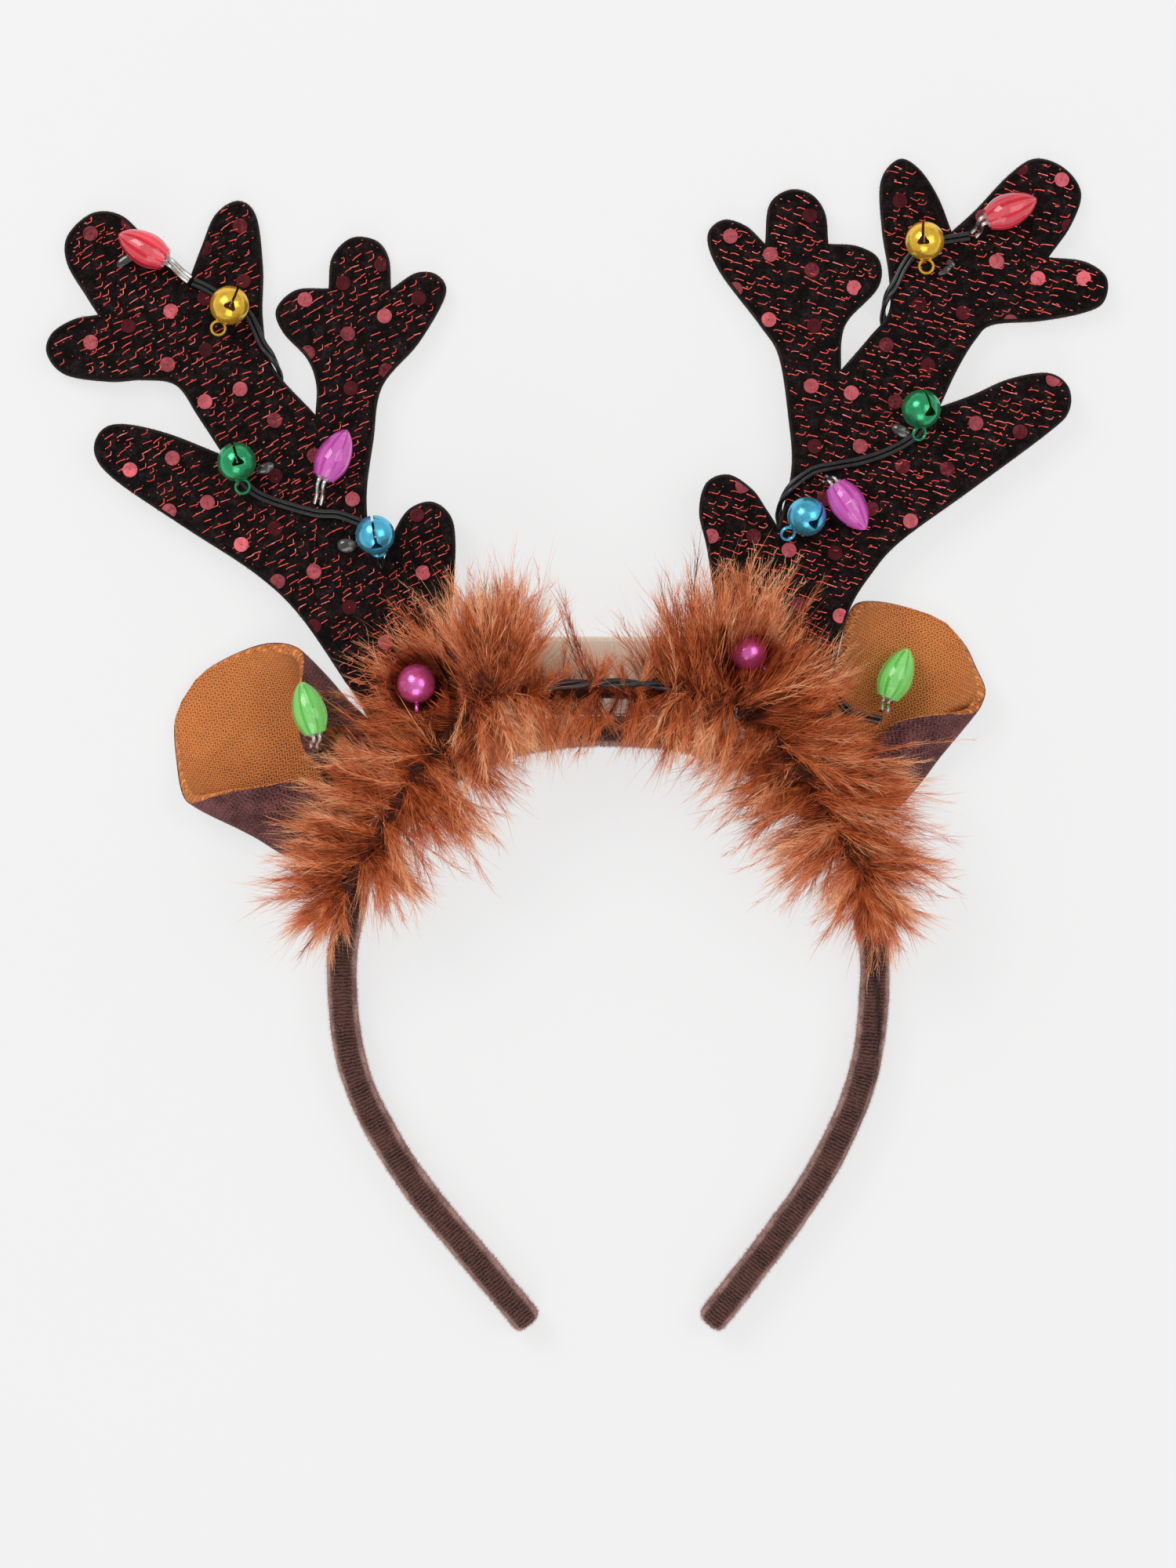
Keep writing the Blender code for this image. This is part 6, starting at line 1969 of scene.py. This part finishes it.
class MakeEars(bpy.types.Operator):
    """Roll the velvet and the twill lining of both ears"""
    bl_idname = "headband.make_ears"
    bl_label = "Ears"

    def execute(self, context):
        s = context.scene.headband_cloth
        start = VELVET_THICK + GAP / 3
        for word, ear, wrinkle in (("left", LEFT_EAR, left_wrinkle),
                                   ("right", RIGHT_EAR, right_wrinkle)):
            for kind, low, high, made, slot in (
                    ("velvet", 0.0, VELVET_THICK, ready("Ear velvet", plain_velvet_finish),
                     "velvet"),
                    ("lining", start, start + LINING_THICK + GAP, ready("Twill", twill_finish),
                     "tan_twill")):
                mesh = ear_mesh(f"ear_{word}_{kind}_cloth", ear, low, high, 48, wrinkle)
                piece = add_piece(f"ear_{word}_{kind}_cloth", mesh, made, slot,
                                  f"ear_{word}_{kind}", smooth=60)
                colour = s.ear_velvet if kind == "velvet" else s.lining
                fuzz, fibres = fuzz_on(f"ear_{word}_{kind}_fuzz", piece, *EAR_FUZZ,
                                       f"Ear {kind} fuzz", [v * 1.2 for v in colour])
                add_piece(f"ear_{word}_{kind}_fuzz", fuzz, fibres, slot)
        return {"FINISHED"}


class MakeDown(bpy.types.Operator):
    """Grow the down trim's plumes round the crown"""
    bl_idname = "headband.make_down"
    bl_label = "Down trim"

    def execute(self, context):
        s = context.scene.headband_down
        down = ready("Down", down_finish)
        tree, barb = down_tree(), barb_object()
        add_piece("down_core", core_mesh(), ready("Down core", core_finish), "feather",
                  "feather_trim", smooth=180)
        below = ["band_velvet"] + [name.format(word) for name in (
            "felt_{}", "cloth_{}", "ear_{}_velvet_cloth", "ear_{}_lining_cloth")
            for word, _ in SIDES]
        ground = tool_object("Ground", joined(
            "Ground", *[bpy.data.objects[name].data for name in below]))
        places = []
        for word, antler, bells in BELLS:
            for colour, centre, _ in bell_places(antler, bells):
                shift = PINK_SHIFT if (word, colour) == ("right", "pink") else (0, 0, 0)
                places.append((centre.x + shift[0], centre.y + shift[1], shift[2]))
        for _, _, base, tip, _ in bulb_places():
            places += [(*base.lerp(tip, v).xy, 0) for v in (0.15, 0.5, 0.85)]
        spots = tool_object("Clear spots", plain_mesh("Clear spots", places))
        plans = (("down_left_hump", TUFTS[:7], 290), ("down_right_hump", TUFTS[6:17], 370),
                 ("down_right", TUFTS[16:28], 370), ("down_right_low", TUFTS[27:37], 310),
                 ("down_left_low", TUFTS[36:47], 310), ("down_left", TUFTS[47:], 310))
        for n, (name, tufts, count) in enumerate(plans):
            mesh = grown(name, tree, plume_roots(tufts, count, s.seed + n), barb=barb,
                         ground=ground, clear_spots=spots, clear_radius=CLEAR_RADIUS, barbs=s.barbs,
                         width=s.barb_width, material=down)
            add_piece(name, mesh, down, "feather", "feather_trim")
        return {"FINISHED"}


class MakeBells(bpy.types.Operator):
    """Place the slotted bells and the loose ball in each"""
    bl_idname = "headband.make_bells"
    bl_label = "Bells"

    def execute(self, context):
        s = context.scene.headband_bells
        shape = bell_shape()
        ball = ball_mesh("Ball", BALL_RADIUS, 10, 16)
        steel = ready("Ball steel", steel_finish)
        for word, antler, bells in BELLS:
            for colour, centre, place in bell_places(antler, bells):
                made = ready(f"Bell {colour}",
                             lambda name: metal_finish(name, list(getattr(s, colour))))
                add_piece(f"jingle_{word}_{colour}", put_at(shape, place), made,
                          f"{colour}_metal", f"bell_{word}_{colour}", smooth=35)
                loose = put_at(ball, Matrix.Translation(centre - UP * BALL_DROP))
                add_piece(f"pellet_{word}_{colour}", loose, steel, "steel",
                          f"ball_{word}_{colour}", smooth=180)
        return {"FINISHED"}


class MakeBulbs(bpy.types.Operator):
    """Place the bulb covers, the lights in them and their leads"""
    bl_idname = "headband.make_bulbs"
    bl_label = "Bulbs"

    def execute(self, context):
        s = context.scene.headband_lights
        cover, light = cover_shape(), light_shape()
        clear = ready("Clear plastic", clear_finish)
        steel = ready("Lead metal", steel_finish)
        for word, colour, base, tip, end in bulb_places():
            axis = (tip - base).normalized()
            made = ready(f"Cover {colour}",
                         lambda name: jelly_finish(name, list(getattr(s, colour))))
            add_piece(f"cover_{word}_{colour}", put_at(cover, pose(base, axis)), made,
                      f"{colour}_plastic", f"bulb_{word}_{colour}", smooth=30)
            inner = put_at(light, pose(base - axis * LIGHT_FLANGE, axis))
            add_piece(f"lamp_{word}_{colour}", inner, clear, "clear_plastic",
                      f"light_{word}_{colour}", smooth=50)
            out = (end - base).normalized()
            side = axis.cross(UP).normalized() * LEAD_SPREAD
            end_side = out.cross(UP).normalized() * LEAD_SPREAD
            if end_side.dot(side) < 0:
                end_side = -end_side
            lines = []
            for sign in (-1, 1):
                path = [base + axis * LIGHT_FLANGE + side * sign,
                        base - axis * LIGHT_RADIUS + side * sign,
                        end + (base - end) * 0.35 + end_side * sign, end + end_side * sign]
                lines.append([Vector(p) for p in smooth_path(path, 6)])
            mesh = tubes(f"leads_{word}_{colour}", lines, LEAD_RADIUS, steel, 0.0004, 8)
            add_piece(f"leads_{word}_{colour}", mesh, steel, "steel", f"light_{word}_{colour}")
        return {"FINISHED"}


class MakeWires(bpy.types.Operator):
    """Run the two-core wires over the antlers and the crown, with their glue"""
    bl_idname = "headband.make_wires"
    bl_label = "Wires and glue"

    def execute(self, context):
        made = ready("Wire cover", wire_finish)
        for name, route, outward in wire_routes():
            twist = CROWN_TWIST if name == "wire_crown" else 0.0
            mesh = tubes(name + "_cores", wire_cores(route, outward, twist), WIRE_THICK / 2, made)
            add_piece(name + "_cores", mesh, made, "black_plastic", name)
        glue = ready("Glue", glue_finish)
        for word, antler in SIDES:
            blobs = []
            for n, (x, y, long, wide, high, turn) in enumerate(GLUE_ROWS[word]):
                centre = Vector((x / 1000, y / 1000, antler.front(y / 1000) + high * 0.00025))
                blobs.append(blob_mesh("Glue", centre, (long / 1000, wide / 1000, high / 1000),
                                       turn, n + 3))
            add_piece(f"glue_{word}", joined("Glue", *blobs), glue, "clear_plastic", smooth=180)
        return {"FINISHED"}


class MakeStage(bpy.types.Operator):
    """Lay the pale floor and set the lamps and the camera"""
    bl_idname = "headband.make_stage"
    bl_label = "Stage"

    def execute(self, context):
        s = context.scene.headband_stage
        scene = context.scene
        mesh = plain_mesh("Floor", [(-3, -3, 0), (3, -3, 0), (3, 3, 0), (-3, 3, 0)],
                          faces=[(0, 1, 2, 3)])
        floor = bpy.data.objects.new("Floor", mesh)
        scene.collection.objects.link(floor)
        f = Finish("Floor paper", 0.9, emission_strength=0.69, specular_ior_level=0.1)
        f.mottled(4.0, 40.0, tones(s.floor, (0.0, 0.985), (1.0, 1)))
        mesh.materials.append(f.material)
        scene.world = scene.world or bpy.data.worlds.new("Studio")
        scene.world.use_nodes = True
        air = scene.world.node_tree.nodes["Background"].inputs
        air["Color"].default_value = (1, 1, 1, 1)
        air["Strength"].default_value = 0.50
        lamps = (("Key", (-0.75, 0.75, 1.1), 0.7, 1.0), ("Fill", (0.9, 0.2, 1.2), 0.9, 0.55),
                 ("Low", (-0.1, -1.1, 0.9), 0.8, 0.45))
        for name, place, size, share in lamps:
            data = bpy.data.lights.new(name, "AREA")
            data.energy = s.light * share
            data.size = size
            lamp = bpy.data.objects.new(name, data)
            lamp.location = PICTURE_MIDDLE + Vector(place)
            lamp.rotation_euler = (-Vector(place)).to_track_quat("-Z", "Y").to_euler()
            scene.collection.objects.link(lamp)
        data = bpy.data.cameras.new("Camera")
        data.sensor_width = SENSOR
        data.lens = SENSOR * s.distance / PICTURE_HEIGHT
        data.clip_end = 20.0
        camera = bpy.data.objects.new("Camera", data)
        camera.location = PICTURE_MIDDLE + UP * s.distance
        scene.collection.objects.link(camera)
        scene.camera = camera
        scene.view_settings.view_transform = "Standard"
        return {"FINISHED"}


class HeadbandPanel(bpy.types.Panel):
    """Buttons and sizes of the headband"""
    bl_idname = "VIEW3D_PT_headband"
    bl_label = "Reindeer headband"
    bl_space_type = "VIEW_3D"
    bl_region_type = "UI"
    bl_category = "Headband"

    def draw(self, context):
        for made in MAKERS:
            self.layout.operator(made.bl_idname)
        for name, group in GROUPS.items():
            box = self.layout.box()
            box.label(text=name.split("_")[1].title())
            for label in group.__annotations__:
                box.prop(getattr(context.scene, name), label)


# In the order in which they run. The down comes last, as it lies over the other pieces
MAKERS = (MakeStage, MakeCase, MakeBand, MakeAntlers, MakeLurex, MakeEars, MakeBells, MakeBulbs,
          MakeWires, MakeDown)


def register():
    for made in (*GROUPS.values(), *MAKERS, HeadbandPanel):
        bpy.utils.register_class(made)
    for name, group in GROUPS.items():
        setattr(bpy.types.Scene, name, bpy.props.PointerProperty(type=group))


def unregister():
    for name in GROUPS:
        delattr(bpy.types.Scene, name)
    for made in (HeadbandPanel, *reversed(MAKERS), *GROUPS.values()):
        bpy.utils.unregister_class(made)


def main():
    register()
    for made in MAKERS:
        getattr(bpy.ops.headband, made.bl_idname.split(".")[1])()
    for tool in TOOLS:
        bpy.data.objects.remove(tool)


if __name__ == "__main__":
    main()
